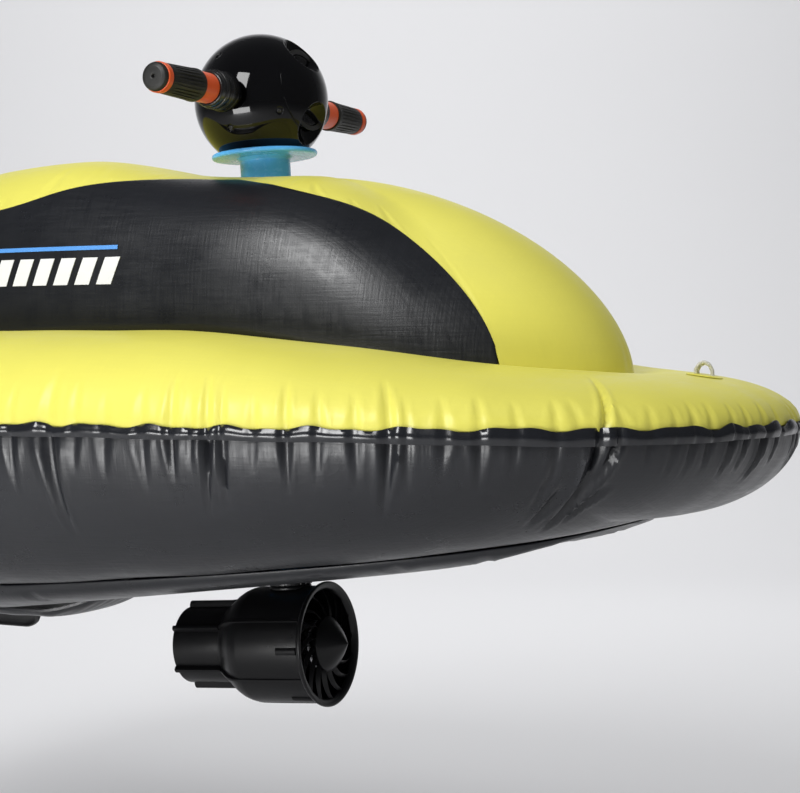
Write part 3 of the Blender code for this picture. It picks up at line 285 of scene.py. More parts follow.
def turned(name, profile, paint, place, steps=96, closed=True, round_by=0.0008, relief=None):
    """A turned piece from (radius, height) corners.
    relief(angle, radius, height) moves its surface in or out."""
    outline = rounded(profile, round_by, closed)
    line = np.array(outline)
    angles = np.linspace(0, 2 * math.pi, steps, endpoint=False)
    radius = np.repeat(line[:, :1], steps, axis=1)
    height = np.repeat(line[:, 1:], steps, axis=1)
    turn = np.repeat(angles[None, :], len(line), axis=0)
    if relief is not None:
        radius = radius + relief(turn, radius, height)
    grid = np.stack([radius * np.cos(turn), radius * np.sin(turn), height], axis=2)
    if closed:
        grid = np.concatenate([grid, grid[:1]], axis=0)
    rows = grid.shape[0]
    made = new_piece(name, grid.reshape(-1, 3), grid_faces(rows, steps, True), paint)
    made.data.transform(place)
    return made


def joined(name, pieces):
    """One object from several."""
    work = bmesh.new()
    for one in pieces:
        work.from_mesh(one.data)
    mesh = bpy.data.meshes.new(name)
    work.to_mesh(mesh)
    work.free()
    for material in pieces[0].data.materials:
        mesh.materials.append(material)
    made = placed(name, mesh)
    for one in pieces:
        bpy.data.objects.remove(one, do_unlink=True)
    return made


def lofted(name, rows, paint):
    """A solid bar through rows of points, each row a closed ring; its ends are closed."""
    grid = np.array(rows)
    count, columns = grid.shape[:2]
    faces = grid_faces(count, columns, True)
    faces += [tuple(range(columns)), tuple((count - 1) * columns + i for i in reversed(range(columns)))]
    return new_piece(name, grid.reshape(-1, 3), faces, paint)


# ---------------------------------------------------------------- finishes
def blank_finish(name):
    made = bpy.data.materials.new(name)
    made.use_nodes = True
    tree = made.node_tree
    shader = tree.nodes["Principled BSDF"]
    return made, tree, shader


def surface_point(tree, scale=(1, 1, 1)):
    point = tree.nodes.new("ShaderNodeTexCoord")
    mapping = tree.nodes.new("ShaderNodeMapping")
    mapping.inputs["Scale"].default_value = scale
    tree.links.new(point.outputs["Object"], mapping.inputs["Vector"])
    return mapping.outputs["Vector"]


def noise(tree, scale, stretch=(1, 1, 1), detail=3.0, rough=0.55):
    made = tree.nodes.new("ShaderNodeTexNoise")
    made.inputs["Scale"].default_value = scale
    made.inputs["Detail"].default_value = detail
    made.inputs["Roughness"].default_value = rough
    tree.links.new(surface_point(tree, stretch), made.inputs["Vector"])
    return made.outputs["Fac"]


def math_node(tree, operation, first, second=None):
    made = tree.nodes.new("ShaderNodeMath")
    made.operation = operation
    for socket, value in zip(made.inputs, (first, second)):
        if value is None:
            continue
        if isinstance(value, (int, float)):
            socket.default_value = value
        else:
            tree.links.new(value, socket)
    return made.outputs[0]


def remap(tree, value, low, high, from_low=0.3, from_high=0.7):
    made = tree.nodes.new("ShaderNodeMapRange")
    made.inputs["From Min"].default_value = from_low
    made.inputs["From Max"].default_value = from_high
    made.inputs["To Min"].default_value = low
    made.inputs["To Max"].default_value = high
    tree.links.new(value, made.inputs["Value"])
    return made.outputs["Result"]


def two_tone(tree, value, dark, light, low=0.3, high=0.7):
    ramp = tree.nodes.new("ShaderNodeValToRGB")
    ramp.color_ramp.elements[0].position = low
    ramp.color_ramp.elements[0].color = (*dark, 1)
    ramp.color_ramp.elements[1].position = high
    ramp.color_ramp.elements[1].color = (*light, 1)
    tree.links.new(value, ramp.inputs["Fac"])
    return ramp.outputs["Color"]


def bump(tree, shader, value, strength, distance):
    made = tree.nodes.new("ShaderNodeBump")
    made.inputs["Strength"].default_value = strength
    made.inputs["Distance"].default_value = distance
    tree.links.new(value, made.inputs["Height"])
    tree.links.new(made.outputs["Normal"], shader.inputs["Normal"])


def shade(colour, factor):
    return tuple(min(channel * factor, 1.0) for channel in colour)


def coated_fabric(name, colour, gloss, spread=0.07, thread=360.0, thread_strength=0.22, coat=0.0, tone=0.10,
                  specular=0.5):
    """Welded, coated fabric: its scrim shows as fine crossing threads, with soft waves in gloss and tone."""
    made, tree, shader = blank_finish(name)
    slack = thread * 0.06
    threads = [noise(tree, 1.0, stretch, 2.0, 0.6) for stretch in
               ((slack, slack, thread), (thread, slack, slack), (slack, thread, slack))]
    weave = math_node(tree, "MULTIPLY", math_node(tree, "MULTIPLY", threads[0], threads[1]), threads[2])
    weave = math_node(tree, "MULTIPLY", weave, 6.0)
    cloud = noise(tree, 7.0, detail=4.0)
    colour_value = math_node(tree, "ADD", math_node(tree, "MULTIPLY", cloud, 0.8),
                             math_node(tree, "MULTIPLY", weave, 0.12))
    tree.links.new(two_tone(tree, colour_value, shade(colour, 1 - tone), shade(colour, 1 + tone)),
                   shader.inputs["Base Color"])
    patch = noise(tree, 16.0, detail=5.0)
    rough_value = math_node(tree, "ADD", math_node(tree, "MULTIPLY", patch, 0.7),
                            math_node(tree, "MULTIPLY", weave, 0.35))
    tree.links.new(remap(tree, rough_value, gloss - spread, gloss + spread), shader.inputs["Roughness"])
    relief = math_node(tree, "ADD", weave, math_node(tree, "MULTIPLY", noise(tree, 45.0), 0.8))
    bump(tree, shader, relief, thread_strength, 0.0006)
    shader.inputs["Specular IOR Level"].default_value = specular
    shader.inputs["Coat Weight"].default_value = coat
    shader.inputs["Coat Roughness"].default_value = 0.18
    return made


def moulded(name, colour, gloss, grain=900.0, grain_strength=0.08, coat=0.0, tone=0.12, spread=0.05,
            specular=0.5):
    """Moulded plastic: fine grain, faint flow marks and handling marks in its gloss."""
    made, tree, shader = blank_finish(name)
    flow = noise(tree, 22.0, (1.0, 1.0, 0.35), 5.0, 0.6)
    tree.links.new(two_tone(tree, flow, shade(colour, 1 - tone), shade(colour, 1 + tone)),
                   shader.inputs["Base Color"])
    marks = noise(tree, 130.0, (1.0, 0.25, 1.0), 6.0, 0.7)
    tree.links.new(remap(tree, marks, gloss - spread, gloss + spread), shader.inputs["Roughness"])
    bump(tree, shader, noise(tree, grain, detail=2.0), grain_strength, 0.0002)
    shader.inputs["Specular IOR Level"].default_value = specular
    shader.inputs["Coat Weight"].default_value = coat
    shader.inputs["Coat Roughness"].default_value = 0.03
    return made


def rubber(name, colour, gloss=0.55):
    """Matte rubber with a pebbled surface and dusty high spots."""
    made, tree, shader = blank_finish(name)
    dust = noise(tree, 60.0, detail=6.0, rough=0.7)
    tree.links.new(two_tone(tree, dust, shade(colour, 0.75), shade(colour, 1.5)),
                   shader.inputs["Base Color"])
    tree.links.new(remap(tree, dust, gloss - 0.10, gloss + 0.12), shader.inputs["Roughness"])
    pebble = tree.nodes.new("ShaderNodeTexVoronoi")
    pebble.inputs["Scale"].default_value = 1100.0
    tree.links.new(surface_point(tree), pebble.inputs["Vector"])
    bump(tree, shader, pebble.outputs["Distance"], 0.25, 0.0002)
    return made


def brushed_metal(name, colour=(0.60, 0.60, 0.62), gloss=0.28):
    """Turned steel with fine scratches round its axis."""
    made, tree, shader = blank_finish(name)
    lines = noise(tree, 1.0, (160.0, 160.0, 1800.0), 4.0, 0.6)
    tree.links.new(two_tone(tree, lines, shade(colour, 0.85), shade(colour, 1.1)),
                   shader.inputs["Base Color"])
    tree.links.new(remap(tree, lines, gloss - 0.08, gloss + 0.12), shader.inputs["Roughness"])
    bump(tree, shader, lines, 0.12, 0.0001)
    shader.inputs["Metallic"].default_value = 1.0
    return made


def clear_strand_finish():
    """Clear soft cord, a little milky, with the lay of its strands."""
    made, tree, shader = blank_finish("clear_strand")
    lay = noise(tree, 420.0, (1.0, 2.5, 1.0), 3.0)
    tree.links.new(two_tone(tree, lay, (0.80, 0.79, 0.72), (0.95, 0.94, 0.90)), shader.inputs["Base Color"])
    tree.links.new(remap(tree, lay, 0.14, 0.30), shader.inputs["Roughness"])
    bump(tree, shader, lay, 0.3, 0.0003)
    shader.inputs["Transmission Weight"].default_value = 0.35
    shader.inputs["IOR"].default_value = 1.42
    return made


def circuit_board_finish():
    """Green board with tracks and pads."""
    made, tree, shader = blank_finish("circuit_board")
    tracks = tree.nodes.new("ShaderNodeTexBrick")
    tracks.inputs["Scale"].default_value = 160.0
    tracks.inputs["Mortar Size"].default_value = 0.06
    tracks.inputs["Color1"].default_value = (0.012, 0.13, 0.045, 1)
    tracks.inputs["Color2"].default_value = (0.018, 0.17, 0.060, 1)
    tracks.inputs["Mortar"].default_value = (0.10, 0.34, 0.12, 1)
    tree.links.new(surface_point(tree, (0.2, 1, 1)), tracks.inputs["Vector"])
    tree.links.new(tracks.outputs["Color"], shader.inputs["Base Color"])
    bump(tree, shader, tracks.outputs["Fac"], 0.3, 0.0002)
    tree.links.new(remap(tree, noise(tree, 90.0), 0.3, 0.5), shader.inputs["Roughness"])
    return made


FINISHES = {}


def finish(name):
    """Each finish is made once, from the colours in the panel."""
    if name in FINISHES:
        return FINISHES[name]
    colours = bpy.context.scene.scooter_colours
    makers = {
        "yellow_skin": lambda: coated_fabric("yellow_skin", tuple(colours.yellow), 0.38, tone=0.03,
                                             thread_strength=0.07, coat=0.05, specular=0.40),
        "black_skin": lambda: coated_fabric("black_skin", tuple(colours.black), 0.30,
                                            thread_strength=0.16, tone=0.16, specular=0.55),
        "weld_band": lambda: coated_fabric("weld_band", tuple(colours.black), 0.20,
                                           thread_strength=0.03, coat=0.35),
        "head_gloss": lambda: moulded("head_gloss", (0.0024, 0.0024, 0.0030), 0.050, spread=0.02,
                                      grain_strength=0.012, coat=0.25, specular=0.22),
        "thruster_black": lambda: moulded("thruster_black", (0.0036, 0.0036, 0.0042), 0.32,
                                          grain_strength=0.04, specular=0.32),
        "satin_black": lambda: moulded("satin_black", (0.012, 0.012, 0.0125), 0.36),
        "bar_black": lambda: moulded("bar_black", (0.010, 0.010, 0.0105), 0.22, coat=0.2),
        "grip_black": lambda: rubber("grip_black", (0.014, 0.014, 0.013), 0.50),
        "skeg_black": lambda: rubber("skeg_black", (0.015, 0.015, 0.016), 0.42),
        "orange_plastic": lambda: moulded("orange_plastic", tuple(colours.orange), 0.34, tone=0.06),
        "blue_plastic": lambda: moulded("blue_plastic", tuple(colours.blue), 0.26, tone=0.05, coat=0.15),
        "steel": lambda: brushed_metal("steel"),
        # steel darkened to near black: painted shade of the wells that the head's screws sit in
        "recess_shaded_steel": lambda: brushed_metal("recess_shaded_steel", (0.07, 0.07, 0.075), 0.42),
        "clear_strand": clear_strand_finish,
        "circuit_board": circuit_board_finish,
        "battery_wrap": lambda: moulded("battery_wrap", (0.05, 0.05, 0.06), 0.4, tone=0.2),
        "stripe_ink": lambda: coated_fabric("stripe_ink", tuple(colours.stripe), 0.42, tone=0.04,
                                            thread_strength=0.10),
        "stripe_blue": lambda: coated_fabric("stripe_blue", (0.10, 0.32, 0.78), 0.40, tone=0.05,
                                             thread_strength=0.10),
    }
    FINISHES[name] = makers[name]()
    return FINISHES[name]


# ---------------------------------------------------------------- hull surfaces
TUBE_SWEEP = math.radians(118)
KEEL_WELD_SWEEP = math.radians(96)
BEAM_X = 0.02                # widest point of the seam
SEAM_LIFT = 0.0013           # start of the skins above and below the seam
POD_BOW, POD_STERN, POD_MIDDLE, POD_HALF = 0.467, -0.575, -0.05, 0.190
POD_BOW_FULLNESS, POD_STERN_FULLNESS = 2.3, 2.6
UNDER_BOW, UNDER_STERN, UNDER_HALF = 0.430, -0.600, 0.205
TUBE_RISE, TUBE_RISE_BOW = 0.109, 0.057
TUBE_DROP_BOW, TUBE_DROP_STERN = 0.106, 0.197
PANEL_TIP_X, PANEL_TOP, PANEL_SLOPE = 0.360, 0.960, 0.75
PAD_GAP, PAD_THICKNESS = 0.0075, 0.015
KEEL_HOLE, ROOF_HOLE = 0.0341, 0.0338


def power(value, exponent):
    return np.sign(value) * np.abs(value) ** exponent


def smooth_step(value):
    value = np.clip(value, 0.0, 1.0)
    return value * value * (3 - 2 * value)


def outline(angle, front, back, middle, half_width, front_fullness, back_fullness):
    ahead = np.cos(angle) > 0
    reach = np.where(ahead, front - middle, middle - back)
    exponent = np.where(ahead, 2 / front_fullness, 2 / back_fullness)
    return np.stack([middle + reach * power(np.cos(angle), exponent),
                     half_width * power(np.sin(angle), exponent)], axis=-1)


def seam_line(angle):
    sizes = bpy.context.scene.scooter_hull
    return outline(angle, sizes.bow, sizes.stern, BEAM_X, sizes.half_beam, 2.35, 3.0)


def pod_foot(angle):
    return outline(angle, POD_BOW, POD_STERN, POD_MIDDLE, POD_HALF, POD_BOW_FULLNESS, POD_STERN_FULLNESS)


def under_edge(angle):
    return outline(angle, UNDER_BOW, UNDER_STERN, BEAM_X, UNDER_HALF, 2.2, 2.6)


def tube_crest(x):
    ahead = np.clip((x + 0.05) / 0.65, 0, 1)
    return TUBE_RISE - (TUBE_RISE - TUBE_RISE_BOW) * np.sin(ahead * math.pi / 2) ** 2


def tube_depth(x):
    return TUBE_DROP_BOW + (TUBE_DROP_STERN - TUBE_DROP_BOW) * np.clip((0.5 - x) / 0.74, 0, 1) ** 0.7


def even_angles(count, line):
    """Angles that share a closed outline into equal lengths, and each one's signed distance from the bow:
    negative to starboard."""
    fine = np.linspace(-math.pi, math.pi, 20001)
    points = line(fine)
    steps = np.linalg.norm(np.diff(points, axis=0), axis=1)
    run = np.concatenate([[0], np.cumsum(steps)])
    middle = np.interp(0.0, fine, run)
    wanted = run[-1] * np.arange(count) / count
    return np.interp(wanted, run, fine), wanted - middle


def tube_grid(angles, turns, inner, height):
    """turns has one row per mesh row. z is positive; the lower skin turns it over."""
    seam, inside = seam_line(angles), inner(angles)
    share = (1 - np.cos(turns)) / (1 - math.cos(TUBE_SWEEP)) * 0.996
    flat = seam[None] + (inside - seam)[None] * share[..., None]
    z = height(flat[..., 0]) * np.sin(turns)
    return np.concatenate([flat, z[..., None]], axis=2)


def girth_of(grid):
    """Distance of each point from its column's first point, along the skin."""
    steps = np.linalg.norm(np.diff(grid, axis=0), axis=2)
    return np.concatenate([np.zeros((1, grid.shape[1])), np.cumsum(steps, axis=0)], axis=0)


def fold_field(along, girth, folds):
    """Sum of folds. Each is (start along, start girth, end along, end girth, start width, end width,
    depth): a groove that narrows along its line, with a low ridge on each side."""
    moved = np.zeros_like(girth)
    for a0, g0, a1, g1, w0, w1, depth in folds:
        da, dg = a1 - a0, g1 - g0
        share = np.clip(((along - a0) * da + (girth - g0) * dg) / (da * da + dg * dg), 0, 1)
        gap = np.hypot(along - (a0 + da * share), girth - (g0 + dg * share))
        wide = w0 + (w1 - w0) * share
        reach = gap / wide
        fade = 1 - share ** 2.2
        if g0 > 0.01:
            fade = np.sin(np.clip(share, 0, 1) * math.pi) ** 0.7
        groove = np.exp(-(reach * 1.15) ** 2)
        lip = np.exp(-((reach - 1.75) / 0.55) ** 2)
        moved += depth * fade * (0.36 * lip - groove)
    return moved


# folds along the starboard side, as distances from the bow; the port side has its own set
SIDE_FOLDS = (
    # (distance, lean, length below, width, depth below, length above, depth above)
    (0.934, -0.006, 0.125, 0.0105, 0.0085, 0.075, 0.0035),
    (0.897, 0.004, 0.050, 0.0070, 0.0030, 0.060, 0.0028),
    (0.858, 0.003, 0.060, 0.0080, 0.0026, 0.040, 0.0018),
    (0.812, -0.004, 0.070, 0.0080, 0.0034, 0.050, 0.0024),
    (0.775, -0.003, 0.062, 0.0070, 0.0060, 0.070, 0.0040),
    (0.750, 0.003, 0.045, 0.0050, 0.0028, 0.050, 0.0026),
    (0.730, 0.006, 0.096, 0.0066, 0.0080, 0.070, 0.0046),
    (0.714, -0.004, 0.088, 0.0056, 0.0062, 0.060, 0.0032),
    (0.676, 0.003, 0.050, 0.0070, 0.0026, 0.045, 0.0022),
    (0.641, -0.003, 0.068, 0.0068, 0.0060, 0.065, 0.0038),
    (0.604, 0.003, 0.058, 0.0070, 0.0032, 0.052, 0.0026),
    (0.566, -0.004, 0.060, 0.0070, 0.0034, 0.050, 0.0026),
    (0.529, 0.004, 0.100, 0.0080, 0.0078, 0.074, 0.0042),
    (0.512, -0.004, 0.070, 0.0052, 0.0040, 0.044, 0.0022),
    (0.472, 0.003, 0.052, 0.0068, 0.0030, 0.048, 0.0024),
    (0.436, -0.003, 0.066, 0.0070, 0.0044, 0.050, 0.0028),
    (0.398, 0.002, 0.048, 0.0062, 0.0030, 0.042, 0.0022),
    (0.357, -0.003, 0.056, 0.0064, 0.0036, 0.046, 0.0026),
    (0.252, 0.003, 0.040, 0.0064, 0.0026, 0.036, 0.0020),
    (0.222, 0.004, 0.052, 0.0052, 0.0034, 0.036, 0.0022),
    (0.197, 0.005, 0.054, 0.0054, 0.0040, 0.042, 0.0030),
    (0.172, 0.005, 0.052, 0.0052, 0.0042, 0.040, 0.0030),
    (0.137, 0.007, 0.056, 0.0056, 0.0056, 0.036, 0.0028),
    (0.109, 0.007, 0.050, 0.0050, 0.0048, 0.036, 0.0030),
    (0.070, 0.008, 0.066, 0.0072, 0.0078, 0.034, 0.0036),
    (0.030, 0.004, 0.046, 0.0058, 0.0044, 0.030, 0.0026),
)
STERN_FIRST, STERN_STEP, STERN_LAST = 0.985, 0.047, 1.88
CREASE = 0.303       # distance from the bow of the long crease across both skins


def side_folds(sign, upper):
    """Folds of one side, for the upper or the lower skin."""
    made = []
    shift = 0.0 if sign < 0 else 0.009
    for index, (spot, lean, low, width, deep, high, shallow) in enumerate(SIDE_FOLDS):
        spot += shift * math.sin(index * 2.3)
        length, depth = (high, shallow) if upper else (low, deep)
        if upper:
            lean = 0.35 * lean - 0.40 * high * math.exp(-(spot / 0.28) ** 2)
        made.append((sign * spot, 0.0, sign * (spot + lean), length, width, width * 0.35, depth))
    spot, index = STERN_FIRST, 0
    while spot < STERN_LAST:
        swing = 0.5 + 0.5 * math.sin(index * 1.9 + (0.6 if sign > 0 else 0.0))
        corner = math.exp(-((spot - 1.46) / 0.17) ** 2)
        deep = (0.0024 + 0.0048 * swing) * (1 + 0.5 * corner)
        length = 0.045 + 0.060 * swing
        if upper:
            deep, length = deep * 0.55, length * 0.7
        made.append((sign * spot, 0.0, sign * (spot + 0.006 * math.sin(index * 3.1)), length,
                     0.0060 + 0.0030 * swing, 0.0022, deep))
        spot += STERN_STEP * (0.72 + 0.55 * swing) * (1 - 0.3 * corner)
        index += 1
    if upper:
        made += [(sign * (CREASE + 0.003), 0.0, sign * (CREASE - 0.034), 0.118, 0.0050, 0.0022, 0.0066),
                 (sign * (CREASE - 0.022), 0.0, sign * (CREASE - 0.018), 0.040, 0.0060, 0.0030, 0.0020),
                 (sign * (CREASE + 0.030), 0.0, sign * (CREASE + 0.032), 0.046, 0.0064, 0.0034, 0.0022)]
    else:
        made += [(sign * (CREASE + 0.007), 0.0, sign * (CREASE + 0.014), 0.112, 0.0080, 0.0030, 0.0120),
                 (sign * (CREASE - 0.012), 0.0, sign * (CREASE + 0.012), 0.100, 0.0062, 0.0026, 0.0095),
                 (sign * (CREASE + 0.012), 0.050, sign * (CREASE + 0.024), 0.150, 0.0060, 0.0040, 0.0060),
                 (sign * (CREASE - 0.016), 0.060, sign * (CREASE + 0.010), 0.128, 0.0050, 0.0040, 0.0050),
                 (sign * (CREASE + 0.034), 0.062, sign * (CREASE + 0.052), 0.130, 0.0062, 0.0044, 0.0056),
                 (sign * (CREASE + 0.050), 0.030, sign * (CREASE + 0.062), 0.096, 0.0060, 0.0040, 0.0032)]
    return made


def slow_swell(along, girth, upper):
    """The skin's slow bulges between the folds."""
    pitch = 0.092 if upper else 0.085
    wave = np.sin(along * 2 * math.pi / pitch + 1.3 * np.sin(along * 7.1))
    low = np.sin(along * 23.0 + 0.8) * np.sin(girth * 18.0 + along * 3.0)
    near = np.exp(-girth / 0.055)
    return (0.0011 * wave * near + 0.0007 * low) * smooth_step(girth / 0.012)


def tube_skin_grid(upper, columns, rows):
    sizes = bpy.context.scene.scooter_hull
    height, inner = (tube_crest, pod_foot) if upper else (tube_depth, under_edge)
    angles, along = even_angles(columns, seam_line)
    first = np.arcsin(SEAM_LIFT / np.abs(height(seam_line(angles)[:, 0])))
    share = (np.arange(rows) / (rows - 1))[:, None] ** 1.25
    turns = first[None] + (TUBE_SWEEP - first[None]) * share
    grid = tube_grid(angles, turns, inner, height)
    girth = girth_of(grid)
    along = np.repeat(along[None], rows, axis=0)
    moved = np.zeros_like(girth)
    for sign in (-1, 1):
        moved += fold_field(along, girth, side_folds(sign, upper))
    moved += slow_swell(along, girth, upper)
    moved *= sizes.fold_depth
    raised = np.maximum(moved, 0) * smooth_step(girth / 0.030)
    moved = np.minimum(moved, 0) + raised
    last = girth[-1:]
    moved *= smooth_step((last - girth) / 0.030)
    normal = normals_of(grid, True)
    middle = np.array([-0.05, 0, 0.0])
    flip = np.sign(np.sum(normal * (grid - middle), axis=2, keepdims=True))
    normal = normal * np.where(np.abs(flip) > 0, flip, 1)
    grid = grid + normal * moved[..., None]
    if not upper:
        grid[..., 2] *= -1
    return grid


def roof_height(x):
    sizes = bpy.context.scene.scooter_pod
    spread = np.where(x > -0.25, 0.13, 0.30)
    return sizes.roof + sizes.hump * np.exp(-((x + 0.25) / spread) ** 2)


def pod_fullness(angle):
    ahead = smooth_step((np.cos(angle) - 0.05) / 0.7)
    behind = smooth_step((-np.cos(angle) - 0.2) / 0.8)
    return 3.3 - 1.55 * ahead - 1.1 * behind


def pod_grid(angles, rises):
    foot = pod_foot(angles)
    roof_x = np.clip(foot[..., 0], -0.38, 0.06)
    exponent = 2 / pod_fullness(angles)
    across = np.maximum(np.cos(rises), 0) ** exponent
    up = np.maximum(np.sin(rises), 0) ** exponent
    x = roof_x + (foot[..., 0] - roof_x) * across
    y = foot[..., 1] * across
    base = tube_crest(foot[..., 0]) * math.sin(TUBE_SWEEP)
    z = base + (roof_height(roof_x) - base) * up
    return np.stack([x, y, z], axis=-1)


def panel_rise(angle):
    """Rise angle at which the dark side panel ends below the roof; 0 where there is none."""
    x = pod_foot(angle)[..., 0]
    nose = (PANEL_TOP - PANEL_SLOPE * x) * (1 - np.minimum(np.abs(x) / PANEL_TIP_X, 1) ** 8) ** 0.6
    height = np.where(x > 0, nose, PANEL_TOP)
    height = height * (1 - 0.26 * smooth_step((-0.05 - x) / 0.30))
    height = height * (1 - np.clip((-0.36 - x) / 0.20, 0, 1) ** 2)
    rise = np.arcsin(np.clip(height, 0, 1) ** (pod_fullness(angle) / 2))
    return np.where(rise > 0.12, rise, 0.0)


def keel_depth(x, y):
    depth = np.minimum(0.206 - 0.13 * x, 0.247)
    tunnel = np.maximum(1 - (y / 0.16) ** 2, 0)
    return depth - 0.029 * tunnel * smooth_step((x + 0.31) / 0.15)


def keel_grid(angles, rises):
    edge = tube_grid(angles, np.full((1, len(angles)), KEEL_WELD_SWEEP), under_edge, tube_depth)[0]
    middle_x = np.clip(edge[:, 0], -0.44, 0.30)
    across = np.maximum(np.cos(rises), 0) ** (2 / 3.0)
    up = np.sin(rises) ** (2 / 3.0)
    x = middle_x + (edge[:, 0] - middle_x) * across
    y = edge[:, 1] * across
    edge_depth = edge[:, 2] + 0.0022
    return np.stack([x, y, -edge_depth - (keel_depth(x, y) - edge_depth) * up], axis=-1)


# ---------------------------------------------------------------- operators: the air hull
class PieceMaker(bpy.types.Operator):
    """Makes pieces of the water scooter"""
    bl_idname = "scooter.piece_maker"
    bl_label = "Piece"
    bl_options = {"REGISTER", "UNDO"}

    def execute(self, context):
        self.make(context.scene)
        return {"FINISHED"}

    def make(self, scene):
        raise NotImplementedError


class MakeTubeSkins(PieceMaker):
    """Upper and lower skin of the ring tube, with their folds"""
    bl_idname = "scooter.tube_skins"
    bl_label = "Tube skins"

    def make(self, scene):
        sizes = scene.scooter_hull
        upper = skin("tube_top_skin", tube_skin_grid(True, sizes.around, sizes.down),
                     finish("yellow_skin"), sizes.skin)
        settle(upper, "hull", "yellow_sheet", "tube_top_sheet")
        lower = skin("tube_bottom_skin", tube_skin_grid(False, sizes.around, sizes.down + 8),
                     finish("black_skin"), sizes.skin, outward=(0, 0, -1))
        settle(lower, "hull", "black_sheet", "hull_bottom_sheet")


class MakeKeelSkin(PieceMaker):
    """Lower centre chamber"""
    bl_idname = "scooter.keel_skin"
    bl_label = "Keel skin"

    def make(self, scene):
        rows, columns = 40, 320
        angles, along = even_angles(columns, under_edge)
        rises = (0.01 + (math.pi / 2 - 0.01) * (np.arange(rows) / (rows - 1)) ** 1.2)[:, None]
        grid = keel_grid(angles, np.repeat(rises, columns, axis=1))
        girth = girth_of(grid)
        along = np.repeat(along[None], rows, axis=0)
        folds = [(spot, 0.0, spot + 0.01 * math.sin(spot * 50), 0.055 + 0.02 * math.sin(spot * 31),
                  0.009, 0.004, 0.0022 + 0.0012 * math.sin(spot * 17))
                 for spot in np.arange(-1.3, 1.31, 0.085)]
        moved = fold_field(along, girth, folds) * smooth_step(girth / 0.02)
        inside = np.hypot(grid[..., 0], grid[..., 1]) < 0.30
        moved = np.where(inside, 0.0, moved)
        grid[..., 2] -= moved
        made = skin("keel_skin", grid, finish("black_skin"), scene.scooter_hull.skin, outward=(0, 0, -1))
        cut_column_hole(made, KEEL_HOLE)
        settle(made, "hull", "black_sheet", "keel_sheet")


def cut_column_hole(made, radius):
    """A round hole for the column sleeve, cut on the steering axis."""
    cut(made, turned("column_hole", [(0, 0.5), (radius, 0.5), (radius, -0.5), (0, -0.5)],
                     finish("black_skin"), STEERING, closed=False))


class MakeWeldBand(PieceMaker):
    """Wavy glossy weld band round the hull"""
    bl_idname = "scooter.weld_band"
    bl_label = "Weld band"

    def make(self, scene):
        sizes = scene.scooter_hull
        columns = 1400
        angles, along = even_angles(columns, seam_line)
        distance = np.abs(along)
        zero = np.zeros((1, columns))
        pulled = np.zeros((1, columns))
        for sign in (-1, 1):
            pulled += fold_field(along[None], zero, side_folds(sign, False))
        pulled = np.minimum(pulled[0], 0) * 0.55
        waves = (np.sin(along * 2 * math.pi / 0.088 + 1.9 * np.sin(along * 6.3))
                 + 0.55 * np.sin(along * 2 * math.pi / 0.047 + 2.0)
                 + 1.1 * np.exp(-(distance / 0.2) ** 2) * np.sin(along * 2 * math.pi / 0.054))
        ripple = (np.sin(along * 2 * math.pi / 0.031 + 2.0 * np.sin(along * 23.0))
                  * (0.5 + 0.5 * np.sin(along * 57.0 + 1.0)))
        top = 0.0042 + 0.0020 * waves
        bottom = (-(0.0096 + 0.0042 * np.exp(-((distance - 0.32) / 0.20) ** 2))
                  + 0.0005 * np.sin(along * 41.0))
        section = ((0.0, 0.0, 0.0), (0.25, 0.0020, 0.6), (0.5, 0.0030, 1.0), (0.75, 0.0022, 0.6),
                   (1.0, 0.0004, 0.1))
        thick = 0.0013
        outside, inside = [], []
        for share, bulge, shake in section:
            out = sizes.band_out + bulge + pulled + 0.0003 * shake * ripple + 0.0005 * shake * waves
            z = top + (bottom - top) * share
            outside.append((out, z))
            inside.append((out - thick, z))
        loop = outside + inside[::-1]
        grid = np.array([band_row(angles, out, z) for out, z in loop + loop[:1]])
        made = new_piece("weld_band", grid.reshape(-1, 3), grid_faces(len(loop) + 1, columns, True),
                         finish("weld_band"), sharp=60.0)
        settle(made, "hull", "black_sheet", "seam_flange")


def band_row(angles, out, z):
    """Points at a distance outside the seam line, which differs from column to column."""
    base = seam_line(angles)
    ahead, behind = np.roll(base, -1, axis=0), np.roll(base, 1, axis=0)
    run = ahead - behind
    normal = np.stack([run[:, 1], -run[:, 0]], axis=1)
    normal /= np.linalg.norm(normal, axis=1, keepdims=True)
    normal *= np.sign(np.sum(normal * (base - np.array([BEAM_X, 0])), axis=1, keepdims=True))
    spot = base + normal * out[:, None]
    return np.concatenate([spot, z[:, None]], axis=1)


